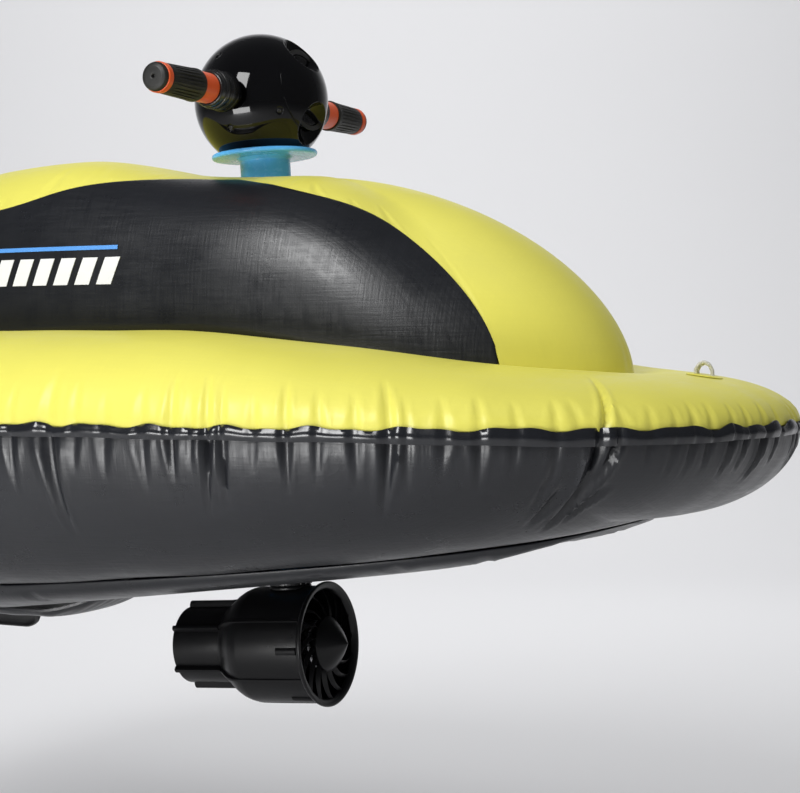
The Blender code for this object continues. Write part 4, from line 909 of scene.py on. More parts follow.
class MakePodSkins(PieceMaker):
    """Pod roof and the dark side panels"""
    bl_idname = "scooter.pod_skins"
    bl_label = "Pod skins"

    def make(self, scene):
        thickness = scene.scooter_hull.skin
        rows, columns = 64, 560
        angles, along = even_angles(columns, pod_foot)
        start = np.maximum(panel_rise(angles) - 0.020, 0.0)
        share = (np.arange(rows) / (rows - 1))[:, None]
        grid = pod_grid(np.repeat(angles[None], rows, axis=0),
                        start[None] + (math.pi / 2 - start[None]) * share)
        girth = girth_of(grid)
        along = np.repeat(along[None], rows, axis=0)
        folds = [(spot, 0.0, spot + 0.012 * math.sin(spot * 37), 0.05 + 0.03 * math.sin(spot * 23),
                  0.010, 0.004, 0.0011 + 0.0007 * math.sin(spot * 13))
                 for spot in np.arange(-1.2, 1.21, 0.067)]
        grid += normals_of(grid, True) * outward_sign(grid)[..., None] * (
            fold_field(along, girth, folds) * smooth_step(girth / 0.015))[..., None]
        roof = skin("pod_roof_skin", grid, finish("yellow_skin"), thickness)
        cut_column_hole(roof, ROOF_HOLE)
        settle(roof, "hull", "yellow_sheet", "pod_top_panel")
        for side, sign in SIDES:
            self.side_panel(side, sign, thickness)

    def side_panel(self, side, sign, thickness):
        rows, columns = 48, 320
        fine = np.linspace(0.002, math.pi - 0.002, 4000)
        held = fine[panel_rise(fine) > 0]
        angles = np.linspace(held[0] - 0.01, held[-1] + 0.01, columns)
        top = panel_rise(angles)
        share = (np.arange(rows) / (rows - 1))[:, None]
        grid = pod_grid(np.repeat(angles[None], rows, axis=0), top[None] * share)
        normal = normals_of(grid, False) * outward_sign(grid)[..., None]
        x = grid[..., 0]
        edge = np.sin(math.pi * share) ** 0.5
        wave = 0.0012 * np.sin(x * 34.0 + 5.0 * share) * np.exp(-share / 0.25)
        grid += normal * (0.0007 + wave * edge)[..., None]
        grid[..., 1] *= sign
        panel = skin("pod_side_skin_" + side, grid, finish("black_skin"), thickness, closed=False,
                     outward=(0, sign, 0))
        settle(panel, "hull", "black_sheet", "pod_side_panel_" + side)


def outward_sign(grid):
    normal = normals_of(grid, False)
    way = np.sum(normal * (grid - np.array([-0.10, 0, 0.05])), axis=2)
    return np.where(way >= 0, 1.0, -1.0)


def on_pod(x, z, proud):
    """Points on the port side of the pod at given x and z, standing a little proud."""
    reach = POD_MIDDLE - POD_STERN
    cosine = -(np.maximum(POD_MIDDLE - x, 0) / reach) ** (POD_STERN_FULLNESS / 2)
    angle = np.arccos(np.clip(cosine, -1, 1))
    base = tube_crest(x) * math.sin(TUBE_SWEEP)
    level = np.clip((z - base) / (roof_height(x) - base), 0, 1)
    rise = np.arcsin(level ** (pod_fullness(angle) / 2))
    spots = pod_grid(angle, rise)
    normal = normals_of(spots, False)
    normal *= np.sign(normal[..., 1:2])
    return spots + normal * proud


class MakeStripes(PieceMaker):
    """Plain slanted stripes and one long bar on each side panel"""
    bl_idname = "scooter.stripes"
    bl_label = "Side stripes"

    def make(self, scene):
        sizes = scene.scooter_pod
        pitch, slant, low, high = sizes.stripe_width + 0.011, 0.35, 0.166, 0.199
        front = -0.128
        for side, sign in SIDES:
            patches = []
            for index in range(sizes.stripe_count):
                ahead = front - pitch * index
                patches.append(self.patch(ahead - sizes.stripe_width, ahead, low, high, slant, 8, sign))
            made = joined("side_stripes_" + side, patches)
            settle(made, "hull", "black_sheet")
            bar = self.patch(-0.356, -0.122, 0.2085, 0.2135, 0.0, 60, sign, "stripe_blue")
            bar.name = "side_bar_" + side
            settle(bar, "hull", "black_sheet")

    def patch(self, back, front, low, high, slant, columns, sign, ink="stripe_ink"):
        """A thin printed patch of four sides that follows the panel."""
        rows = 9
        share_x = np.linspace(0, 1, columns)[None] * np.ones((rows, 1))
        share_z = np.linspace(0, 1, rows)[:, None] * np.ones((1, columns))
        z = low + (high - low) * share_z
        x = back + (front - back) * share_x + slant * (z - low)
        layers = []
        for proud in (0.0019, 0.0011):
            spots = on_pod(x, z, proud)
            spots[..., 1] *= sign
            layers.append(spots.reshape(-1, 3))
        count = rows * columns
        faces = grid_faces(rows, columns, False)
        faces += [tuple(index + count for index in reversed(face)) for face in faces]
        rim = ([(0, c) for c in range(columns)] + [(r, columns - 1) for r in range(1, rows)]
               + [(rows - 1, c) for c in range(columns - 2, -1, -1)]
               + [(r, 0) for r in range(rows - 2, 0, -1)])
        rim = [r * columns + c for r, c in rim]
        for here, there in zip(rim, rim[1:] + rim[:1]):
            faces.append((here, there, there + count, here + count))
        return new_piece("stripe", np.concatenate(layers), faces, finish(ink))


class MakeSternPad(PieceMaker):
    """Stern pad under the hull and the skeg on it"""
    bl_idname = "scooter.stern_pad"
    bl_label = "Stern pad and skeg"

    def make(self, scene):
        back, front, half, thick = -0.580, -0.215, 0.085, PAD_THICKNESS
        middle, reach = (front + back) / 2, (front - back) / 2
        columns, rows = 160, 22
        angle = np.linspace(0, 2 * math.pi, columns, endpoint=False)[None]
        share = (np.arange(rows) / (rows - 1))[:, None]
        x = middle + reach * share * power(np.cos(angle), 0.8)
        y = half * share * power(np.sin(angle), 0.8)
        swell = thick * (0.22 + 0.78 * np.sqrt(np.maximum(1 - share ** 2.5, 0)))
        pucker = 0.0009 * np.sin(angle * 22 + 2 * np.sin(angle * 3)) * smooth_step((share - 0.6) / 0.3)
        level = -keel_depth(x, y) - PAD_GAP
        below = np.stack([x, y, level - swell - pucker * (1 - share ** 8)], axis=-1)
        above = np.stack([x, y, level], axis=-1)
        grid = np.concatenate([below, above[::-1]], axis=0)
        pad = new_piece("stern_pad_skin", grid.reshape(-1, 3), grid_faces(2 * rows, columns, True),
                        finish("black_skin"))
        settle(pad, "hull", "black_sheet", "stern_pad")

        top, bottom = -0.247 - PAD_GAP - PAD_THICKNESS - 0.0009, -0.292
        count, half_thick = 60, 0.0050
        spots = np.linspace(0, 1, count)
        path = []
        for share in spots:
            lean = 0.006 + 0.010 * share
            x_top = -0.375 - 0.195 * share
            path.append((Vector((x_top, 0, 0)), lean, share))
        section = [(-half_thick * 0.55, 0.0), (-half_thick * 0.50, 0.35), (-half_thick * 0.46, 0.70),
                   (-half_thick * 0.72, 0.80), (-half_thick, 0.88), (-half_thick * 0.85, 0.96), (0, 1.0),
                   (half_thick * 0.85, 0.96), (half_thick, 0.88), (half_thick * 0.72, 0.80),
                   (half_thick * 0.46, 0.70), (half_thick * 0.50, 0.35), (half_thick * 0.55, 0.0)]
        grid = []
        for spot, lean, share in path:
            nose = math.sqrt(max(1 - (1 - min(share / 0.10, 1)) ** 2, 0))
            low = top + (bottom - top) * (0.25 + 0.75 * nose)
            grid.append([(spot.x - lean * down, side, top + (low - top) * down) for side, down in section])
        fin = lofted("skeg_blade", grid, finish("skeg_black"))
        settle(fin, "hull", "matte_black", "skeg_fin")


TOW_X, TOW_LIFT = 0.560, 0.0006


class MakeTowLoop(PieceMaker):
    """Tow loop of doubled clear cord and its patch"""
    bl_idname = "scooter.tow_loop"
    bl_label = "Tow loop"

    def make(self, scene):
        height = float(tube_crest(TOW_X)) + 0.0008
        patch = turned("tow_patch_disc",
                       [(0, 0.0017), (0.019, 0.0017), (0.021, 0.0008), (0.021, 0.0), (0, 0.0)],
                       finish("yellow_skin"), Matrix.Translation((TOW_X, 0, height)), closed=False,
                       round_by=0.0006)
        for point in patch.data.vertices:
            point.co.z += self.deck_height(point.co.x) + TOW_LIFT - height
        settle(patch, "hull", "yellow_sheet", "tow_patch")
        strands = []
        for lane, (wide, tall, lean) in enumerate(((0.0100, 0.0128, -0.0021), (0.0090, 0.0116, 0.0021))):
            count, sides, thick = 64, 14, 0.0021
            path = []
            for index in range(count):
                swing = math.pi * index / (count - 1)
                twist = lean + 0.0006 * math.sin(swing * 4 + lane)
                path.append(Vector((TOW_X + wide * math.cos(swing), twist,
                                    height + TOW_LIFT + tall * math.sin(swing))))
            rows = []
            for index, spot in enumerate(path):
                run = (path[min(index + 1, count - 1)] - path[max(index - 1, 0)]).normalized()
                side = Vector((0, 1, 0))
                up = run.cross(side).normalized()
                side = up.cross(run)
                rows.append([spot + (side * math.cos(a) + up * math.sin(a)) * thick *
                             (1 + 0.10 * math.cos(3 * a + index * 0.55))
                             for a in np.linspace(0, 2 * math.pi, sides, endpoint=False)])
            strands.append(lofted("strand", rows, finish("clear_strand")))
        made = joined("tow_cord", strands)
        for point in made.data.vertices:
            drop = self.deck_height(point.co.x) + TOW_LIFT - height
            point.co.z += drop * (1 - smooth_step((point.co.z - height) / 0.010))
        settle(made, "hull", "clear_cord", "tow_loop")

    def deck_height(self, x):
        """Height of the tube's upper skin on the centre line near the bow."""
        front, foot = seam_line(np.zeros(1))[0, 0], pod_foot(np.zeros(1))[0, 0]
        lean = 1 - (front - x) / (front - foot) * (1 - math.cos(TUBE_SWEEP))
        return float(tube_crest(x)) * math.sqrt(1 - lean * lean)


VALVE_X, VALVE_Y = -0.658, 0.085


class MakeValves(PieceMaker):
    """Air valves and their hinged caps at the stern"""
    bl_idname = "scooter.valves"
    bl_label = "Valves"

    def make(self, scene):
        for side, sign in SIDES:
            x, y = VALVE_X, sign * VALVE_Y
            seat = TUBE_RISE + 0.0006
            top = seat + 0.0090
            body = turned("valve_seat_" + side,
                          [(0.0105, top), (0.0105, seat + 0.0045), (0.0118, seat + 0.0030),
                           (0.0165, seat + 0.0018), (0.0180, seat + 0.0006), (0.0180, seat), (0.0105, seat),
                           (0.0105, seat - 0.016), (0.0070, seat - 0.016), (0.0070, top)],
                          finish("satin_black"), Matrix.Translation((x, y, 0)), round_by=0.0007,
                          relief=lambda a, r, z: np.where((r > 0.0166) & (z > seat),
                                                          0.00035 * np.cos(a * 24), 0))
            settle(body, "hull", "matte_black", "valve_body_" + side)
            cap = turned("valve_lid", [(0, 0.0040), (0.0100, 0.0040), (0.0113, 0.0028), (0.0113, 0.0003),
                                       (0.0055, 0.0003), (0.0052, -0.0022), (0, -0.0022)],
                         finish("satin_black"), Matrix.Translation((x, y, top)), closed=False,
                         round_by=0.0006,
                         relief=lambda a, r, z: np.where(r > 0.0105, 0.00030 * np.cos(a * 20), 0))
            section = [(-0.003, 0.0004), (-0.003, 0.0024), (-0.0026, 0.0028), (0.0026, 0.0028),
                       (0.003, 0.0024), (0.003, 0.0004)]
            rows = [[Vector((x + reach, y, top)) + Vector((0, wide * across, up)) for across, up in section]
                    for reach, wide in ((0.004, 1.0), (0.010, 1.0), (0.013, 0.86), (0.0147, 0.6))]
            strap = lofted("strap", rows, finish("satin_black"))
            settle(joined("valve_lid_" + side, [cap, strap]), "valve_cap_" + side, "matte_black",
                   "valve_cap_" + side)


# ---------------------------------------------------------------- operators: column and head
FLANGE_TOP, SLEEVE_BOTTOM = 0.3380, -0.1930
CAP_EDGE = math.radians(42)      # rim of the battery cap, from the cap's axis
CAP_WALL, PLUG_RADIUS = 0.0018, 0.0440
SCREW_WAYS = ((0.684, -0.669, -0.293), (-0.041, -0.876, -0.481), (-0.250, -0.735, 0.630))


class MakeColumn(PieceMaker):
    """Blue column sleeve with its top flange, and the nut under the hull"""
    bl_idname = "scooter.column"
    bl_label = "Column sleeve"

    def make(self, scene):
        radius, wall, flange, thick = 0.0321, 0.0030, 0.0673, 0.0060
        under = FLANGE_TOP - thick
        sleeve = turned("blue_sleeve",
                        [(flange - 0.0012, FLANGE_TOP), (flange, FLANGE_TOP - 0.0016),
                         (flange, under + 0.0016), (flange - 0.0016, under),
                         (radius + 0.0045, under - 0.0004), (radius, under - 0.0042), (radius, 0.2),
                         (radius, SLEEVE_BOTTOM), (radius - wall, SLEEVE_BOTTOM),
                         (radius - wall, FLANGE_TOP)], finish("blue_plastic"), STEERING, steps=160,
                        round_by=0.0012)
        settle(sleeve, "hull", "blue_plastic", "column_sleeve")
        nut = turned("sleeve_ring_nut", [(0.0390, SLEEVE_BOTTOM + 0.0075), (0.0390, SLEEVE_BOTTOM),
                                         (0.0324, SLEEVE_BOTTOM), (0.0324, SLEEVE_BOTTOM + 0.0075)],
                     finish("satin_black"), STEERING, steps=192, round_by=0.0009,
                     relief=lambda a, r, z: np.where(r > 0.037, -0.0011 * (np.cos(a * 16) > 0.35), 0))
        settle(nut, "hull", "matte_black", "sleeve_nut")


def scoop_centres(sizes):
    reach = sizes.ball * 1.06
    return [np.array([-way * reach * math.sin(sizes.scoop_angle), 0, reach * math.cos(sizes.scoop_angle)])
            for way in (1, -1)]


def ball_surface(sizes, polar, turn):
    """Points of the ball with its two finger scoops, in the cap's frame."""
    way = np.stack([np.sin(polar) * np.cos(turn), np.sin(polar) * np.sin(turn), np.cos(polar)], axis=-1)
    reach = np.full(polar.shape, sizes.ball)
    soft = 0.0045
    for centre in scoop_centres(sizes):
        ahead = way @ centre
        inside = sizes.scoop ** 2 - (centre @ centre - ahead ** 2)
        entry = ahead - (np.sqrt(np.maximum(inside, 0) + soft ** 2) - soft)
        reach = np.where((inside > 0) & (ahead > 0), np.minimum(reach, entry), reach)
    return way * reach[..., None]


class MakeHeadShells(PieceMaker):
    """Two half shells of the ball head, and the bosses that the bar comes out of"""
    bl_idname = "scooter.head_shells"
    bl_label = "Head shells"

    def make(self, scene):
        sizes = scene.scooter_head
        plane = sizes.ball * math.cos(CAP_EDGE)
        seat = FLANGE_TOP + 0.0005 - BALL_Z
        to_ball = np.array(CAP.to_3x3().inverted() @ STEERING.to_3x3())
        rows, columns = 230, 150
        for side, sign in SIDES:
            polar = np.linspace(0.001, math.pi - 0.0005, rows)[:, None] * np.ones((1, columns))
            turn = np.linspace(0, math.pi, columns)[None] * np.ones((rows, 1)) * sign
            spots = ball_surface(sizes, polar, turn)
            spots[..., 2] = np.minimum(spots[..., 2], plane)
            steered = spots @ to_ball
            steered[..., 2] = np.maximum(steered[..., 2], seat)
            front = spots[..., :2]
            faces = []
            bore, opening = 0.0454, 0.0495
            for face in grid_faces(rows, columns, False):
                corner = [(index // columns, index % columns) for index in face]
                in_bore = all(np.hypot(*front[c]) < bore and spots[c][2] > 0 for c in corner)
                in_opening = all(steered[c][2] <= seat + 1e-6 and np.hypot(*steered[c][:2]) < opening
                                 for c in corner)
                if not in_bore and not in_opening:
                    faces.append(face)
            steered[..., 1] += sign * 0.00012
            shell = new_piece("head_half_" + side, steered.reshape(-1, 3), faces, finish("head_gloss"),
                              sharp=55.0)
            self.face_out(shell)
            thicken(shell, sizes.wall * 0.8)
            bake(shell)
            shell.data.transform(BALL)
            if sign < 0:
                self.cut_screw_wells(shell, sizes)
            settle(shell, "steering", "gloss_black", "head_shell_" + side)
            boss = turned("bar_boss_" + side,
                          [(0.0128, 0.1035), (0.0236, 0.1035), (0.0246, 0.1024), (0.0246, 0.0976),
                           (0.0236, 0.0965), (0.0166, 0.0960), (0.0158, 0.0940), (0.0158, 0.0860),
                           (0.0172, 0.0800), (0.0128, 0.0790)], finish("head_gloss"), bar_frame(sign),
                          steps=144, round_by=0.0008)
            settle(boss, "steering", "gloss_black")

    def face_out(self, shell):
        mesh = shell.data
        if sum(face.normal.dot(face.center) for face in mesh.polygons) < 0:
            mesh.flip_normals()

    def cut_screw_wells(self, shell, sizes):
        for way in SCREW_WAYS:
            place = BALL @ Vector(way).to_track_quat("Z", "Y").to_matrix().to_4x4()
            well = turned("well", [(0, sizes.ball + 0.01), (0.0058, sizes.ball + 0.01),
                                   (0.0046, sizes.ball - 0.0020), (0, sizes.ball - 0.0020)],
                          finish("head_gloss"), place, steps=48, closed=False, round_by=0.0004)
            cut(shell, well)


class MakeHeadFittings(PieceMaker):
    """Battery cap, power button and the head's screws"""
    bl_idname = "scooter.head_fittings"
    bl_label = "Head fittings"

    def make(self, scene):
        sizes = scene.scooter_head
        self.battery_cap(sizes)
        ball = sizes.ball
        low = math.sqrt(((ball - 0.003) * 0.985) ** 2 - 0.0138 ** 2) - 0.0003
        button = turned("orange_button",
                        [(0, ball + 0.0030), (0.0040, ball + 0.0031), (0.0086, ball + 0.0039),
                         (0.0108, ball + 0.0030), (0.0120, ball + 0.0012), (0.0120, low), (0.0138, low),
                         (0.0138, low - 0.0012), (0, low - 0.0012)], finish("orange_plastic"), BUTTON,
                        closed=False, round_by=0.0010)
        settle(button, "power_button", "orange_plastic", "power_button")
        floor = ball - 0.0022 + 0.0003
        for index, way in enumerate(SCREW_WAYS, 1):
            place = BALL @ Vector(way).to_track_quat("Z", "Y").to_matrix().to_4x4()
            # the screws' steel is darkened: painted shade of the wells they sit in
            screw = turned("screw_%d" % index,
                           [(0, floor + 0.0006), (0.0009, floor + 0.0006), (0.0012, floor + 0.0012),
                            (0.0024, floor + 0.0011), (0.0031, floor + 0.0004), (0.0031, floor), (0, floor)],
                           finish("recess_shaded_steel"), place, steps=48, closed=False, round_by=0.0003)
            settle(screw, "steering", "steel", "head_screw_%d" % index)

    def battery_cap(self, sizes):
        rows, columns = 130, 300
        back = sizes.ball * math.cos(CAP_EDGE) + 0.0006
        polar = np.linspace(0.001, math.radians(46), rows)[:, None] * np.ones((1, columns))
        turn = np.linspace(0, 2 * math.pi, columns, endpoint=False)[None] * np.ones((rows, 1))
        spots = ball_surface(sizes, polar, turn)
        below = spots[..., 2] < back
        radius = np.hypot(spots[..., 0], spots[..., 1])
        spots[..., 2] = np.maximum(spots[..., 2], back)
        faces = []
        for face in grid_faces(rows, columns, True):
            corner = [(index // columns, index % columns) for index in face]
            if not all(below[c] and radius[c] > PLUG_RADIUS for c in corner):
                faces.append(face)
        cover = new_piece("cover", spots.reshape(-1, 3), faces, finish("head_gloss"), sharp=55.0)
        mesh = cover.data
        if sum(face.normal.z for face in mesh.polygons) < 0:
            mesh.flip_normals()
        thicken(cover, CAP_WALL)
        bake(cover)
        cover.data.transform(CAP)
        plug = turned("plug", [(0, back), (PLUG_RADIUS, back), (PLUG_RADIUS, back - 0.0040),
                               (0.0450, back - 0.0050), (0.0450, back - 0.0110), (0.0438, back - 0.0138),
                               (0, back - 0.0138)],
                      finish("head_gloss"), CAP, steps=144, closed=False, round_by=0.0006)
        settle(joined("battery_lid", [cover, plug]), "battery_cap", "gloss_black", "battery_cap")


class MakeHandlebar(PieceMaker):
    """Collars, orange rings, fluted grips and end caps of the handlebar"""
    bl_idname = "scooter.handlebar"
    bl_label = "Handlebar"

    def make(self, scene):
        sizes = scene.scooter_head
        fit = 0.0128
        for side, sign in SIDES:
            place = bar_frame(sign)

            def along(name, profile, paint, node, slot, **more):
                made = turned(name + "_" + side, profile, finish(paint), place, **more)
                return settle(made, "steering", slot, node + "_" + side)
            along("bar_stop", [(0.0204, 0.1361), (0.0222, 0.1345), (0.0222, 0.1276), (0.0226, 0.1268),
                               (0.0240, 0.1262), (0.0240, 0.1200), (0.0230, 0.1190), (0.0230, 0.1150),
                               (0.0240, 0.1140), (0.0240, 0.1038), (fit, 0.1038), (fit, 0.1361)],
                  "bar_black", "bar_collar", "gloss_black", round_by=0.0007)
            along("inner_ring", [(0.0180, 0.1663), (0.0186, 0.1655), (0.0186, 0.1376), (0.0180, 0.1364),
                                 (fit, 0.1364), (fit, 0.1663)],
                  "orange_plastic", "wide_ring", "orange_plastic", round_by=0.0006)
            grip = [(0.0172, 0.2365), (0.0182, 0.2354), (0.0183, 0.2300), (0.0186, 0.2200), (0.0189, 0.2080),
                    (0.0192, 0.1940), (0.0195, 0.1850), (0.0197, 0.1780), (0.0203, 0.1720), (0.0204, 0.1683),
                    (0.0196, 0.1666), (fit, 0.1666), (fit, 0.2365)]
            along("fluted_grip", grip, "grip_black", "grip", "grip_rubber", steps=520, round_by=0.0008,
                  relief=lambda a, r, z: self.flutes(sizes, a, r, z))
            along("outer_ring", [(0.0176, 0.2463), (0.0184, 0.2455), (0.0184, 0.2376), (0.0176, 0.2368),
                                 (fit, 0.2368), (fit, 0.2463)],
                  "orange_plastic", "end_ring", "orange_plastic", round_by=0.0005)
            along("bar_end", [(0, 0.2500), (0.0016, 0.2500), (0.0021, 0.2538), (0.0034, 0.2546),
                              (0.0118, 0.2543), (0.0158, 0.2524), (0.0172, 0.2496), (0.0172, 0.2466),
                              (0, 0.2466)], "grip_black", "end_cap", "matte_black", closed=False,
                  round_by=0.0008)

    def flutes(self, sizes, angle, radius, height):
        """Long grooves whose ends are staggered, and none on the end faces."""
        held = radius > 0.0170
        lane = np.floor(angle / (2 * math.pi) * sizes.grip_flutes)
        stagger = 0.006 * np.mod(lane, 2) + 0.003 * np.mod(lane, 3)
        span = (smooth_step((height - 0.1725 - stagger * 0.5) / 0.004)
                * smooth_step((0.2320 - stagger - height) / 0.004))
        wave = np.cos(angle * sizes.grip_flutes)
        groove = smooth_step((wave - 0.05) / 0.55)
        return -sizes.flute_depth * groove * span * held


# ---------------------------------------------------------------- operators: thruster
CASE_FRONT, CASE_BACK, CASE_SHOULDER, NOZZLE_END = 0.0450, -0.0450, -0.0820, -0.1525
GUARD_FRONT, CONE_TIP, NECK_TOP = 0.0520, 0.0777, -0.1990
RIB_FIRST = math.pi / 2


def ridge(name, path, width, turn):
    """A rounded rib along the thruster: path holds (height along the axis, base radius, top radius)."""
    rows = []
    for z, base, top in path:
        tall = top - base
        half = width / 2
        section = [(-half - 0.0009, base), (-half - 0.0002, base + 0.30 * tall), (-half, base + 0.72 * tall),
                   (-half * 0.72, base + 0.95 * tall), (0, top), (half * 0.72, base + 0.95 * tall),
                   (half, base + 0.72 * tall), (half + 0.0002, base + 0.30 * tall), (half + 0.0009, base)]
        rows.append([(side, radius, z) for side, radius in section])
    made = lofted(name, rows, finish("thruster_black"))
    made.data.transform(THRUSTER @ Matrix.Rotation(turn, 4, "Z"))
    return made


class MakeThrusterCase(PieceMaker):
    """Thruster case and nozzle with their ribs"""
    bl_idname = "scooter.thruster_case"
    bl_label = "Thruster case"

    def make(self, scene):
        sizes = scene.scooter_thruster
        case, nozzle = sizes.case, sizes.nozzle
        inner = case - 0.003
        mouth = nozzle + 0.0004
        paint = finish("thruster_black")
        body = turned("case_body",
                      [(case, CASE_FRONT), (case, CASE_BACK), (case - 0.0012, CASE_BACK - 0.006),
                       (case - 0.0036, CASE_BACK - 0.0125), (case - 0.0076, CASE_BACK - 0.0195),
                       (case - 0.0130, CASE_BACK - 0.0265), (case - 0.0185, CASE_BACK - 0.0325),
                       (nozzle + 0.0038, CASE_SHOULDER), (mouth, CASE_SHOULDER),
                       (mouth, CASE_SHOULDER + 0.006), (case - 0.014, CASE_BACK - 0.022),
                       (inner - 0.003, CASE_BACK - 0.010), (inner, CASE_BACK), (inner, CASE_FRONT)],
                      paint, THRUSTER, steps=160, round_by=0.0022)
        root = THRUST_Z + case
        neck = turned("neck", [(0.0240, NECK_TOP), (0.0240, root + 0.0035), (0.0268, root),
                               (0.0268, root - 0.0030), (0.0173, root - 0.0030), (0.0173, NECK_TOP)],
                      paint, STEERING)
        parts = [body, neck]
        for index in range(sizes.ribs):
            turn = RIB_FIRST + 2 * math.pi * index / sizes.ribs
            if index:
                path = [(-0.0805, 0.0500, 0.0584), (-0.0760, 0.0530, 0.0622), (-0.0700, 0.0590, 0.0676),
                        (-0.0630, 0.0650, 0.0720), (-0.0560, 0.0690, 0.0744), (-0.0480, 0.0715, 0.0754),
                        (-0.0300, 0.0720, 0.0755), (0.0000, 0.0720, 0.0755), (0.0300, 0.0720, 0.0754),
                        (0.0440, 0.0720, 0.0753)]
                parts.append(ridge("ridge", path, 0.0042, turn))
            tab = [(0.0150, 0.0715, 0.0742), (0.0160, 0.0715, 0.0762), (0.0200, 0.0715, 0.0765),
                   (0.0440, 0.0715, 0.0768)]
            if index not in (0, sizes.ribs - 1):
                parts.append(ridge("tab", tab, 0.0090, turn + math.pi / sizes.ribs))
        settle(joined("case_shell", parts), "steering", "thruster_black", "thruster_case")

        top, bore = CASE_SHOULDER + 0.0045, nozzle - 0.0028
        tube = turned("tube", [(nozzle, top), (nozzle, NOZZLE_END + 0.0008), (nozzle - 0.0010, NOZZLE_END),
                               (bore + 0.0006, NOZZLE_END), (bore, NOZZLE_END + 0.0010), (bore, top)],
                      paint, THRUSTER, steps=144, round_by=0.0008)
        parts = [tube]
        for index in range(sizes.ribs):
            turn = RIB_FIRST + 2 * math.pi * index / sizes.ribs
            high = nozzle + 0.0080
            path = [(NOZZLE_END + 0.0010, nozzle - 0.0010, high - 0.0030),
                    (NOZZLE_END + 0.0018, nozzle - 0.0010, high - 0.0008),
                    (NOZZLE_END + 0.0034, nozzle - 0.0010, high), (-0.1300, nozzle - 0.0010, high),
                    (-0.1000, nozzle - 0.0010, high), (-0.0880, nozzle - 0.0010, high),
                    (-0.0815, nozzle - 0.0010, high + 0.0006)]
            parts.append(ridge("rib", path, 0.0060, turn))
        settle(joined("nozzle_tube", parts), "steering", "thruster_black", "thruster_nozzle")


class MakeIntakeGuard(PieceMaker):
    """Intake guard: lip ring, thin curved vanes and the pointed cone"""
    bl_idname = "scooter.intake_guard"
    bl_label = "Intake guard"

    def make(self, scene):
        sizes = scene.scooter_thruster
        outer, inner, seat = sizes.guard, 0.0683, CASE_FRONT + 0.0003
        paint = finish("thruster_black")
        ring = turned("lip", [(outer - 0.0016, GUARD_FRONT), (outer - 0.0002, GUARD_FRONT - 0.0008),
                              (outer, GUARD_FRONT - 0.0030), (outer - 0.0022, seat), (inner, seat),
                              (inner, GUARD_FRONT - 0.0062), (inner + 0.0020, GUARD_FRONT - 0.0028),
                              (inner + 0.0052, GUARD_FRONT - 0.0006)], paint, THRUSTER, steps=192,
                      round_by=0.0012)
        cone_radius, back = 0.0345, GUARD_FRONT - 0.0080
        profile = [(0, CONE_TIP)]
        for share in np.linspace(0.04, 1.0, 18):
            radius = cone_radius * share
            drop = (CONE_TIP - (GUARD_FRONT - 0.0010)) * (0.80 * share + 0.20 * share ** 3.2)
            profile.append((radius, CONE_TIP - drop))
        profile += [(cone_radius, back), (0, back)]
        cone = turned("cone", profile, paint, THRUSTER, steps=128, closed=False, round_by=0.0004)
        parts = [ring, cone]
        for index in range(sizes.vanes):
            start = 2 * math.pi * index / sizes.vanes
            parts.append(self.vane(start, cone_radius - 0.0020, inner + 0.0016, seat))
        settle(joined("guard_grille", parts), "steering", "thruster_black", "intake_guard")

    def vane(self, start, near, far, seat):
        """One thin vane that leans as it runs from the cone to the lip."""
        steps = 22
        rows = []
        for index in range(steps):
            share = index / (steps - 1)
            radius = near + (far - near) * share
            middle = start + math.radians(26) * share ** 1.25
            front = GUARD_FRONT - 0.0012 - 0.0030 * share ** 2
            low = seat + 0.0004
            lean = 0.055 * (1 - 0.4 * share)
            half = 0.00062 / radius
            rim = [(-half, low, -lean), (-half, (low + front) / 2, 0),
                   (-half * 0.8, front - 0.0004, lean * 0.8), (0, front, lean),
                   (half * 0.8, front - 0.0004, lean * 0.8), (half, (low + front) / 2, 0),
                   (half, low, -lean)]
            rows.append([(radius * math.cos(middle + a + tilt), radius * math.sin(middle + a + tilt), z)
                         for a, z, tilt in rim])
        made = lofted("vane", rows, finish("thruster_black"))
        made.data.transform(THRUSTER)
        return made


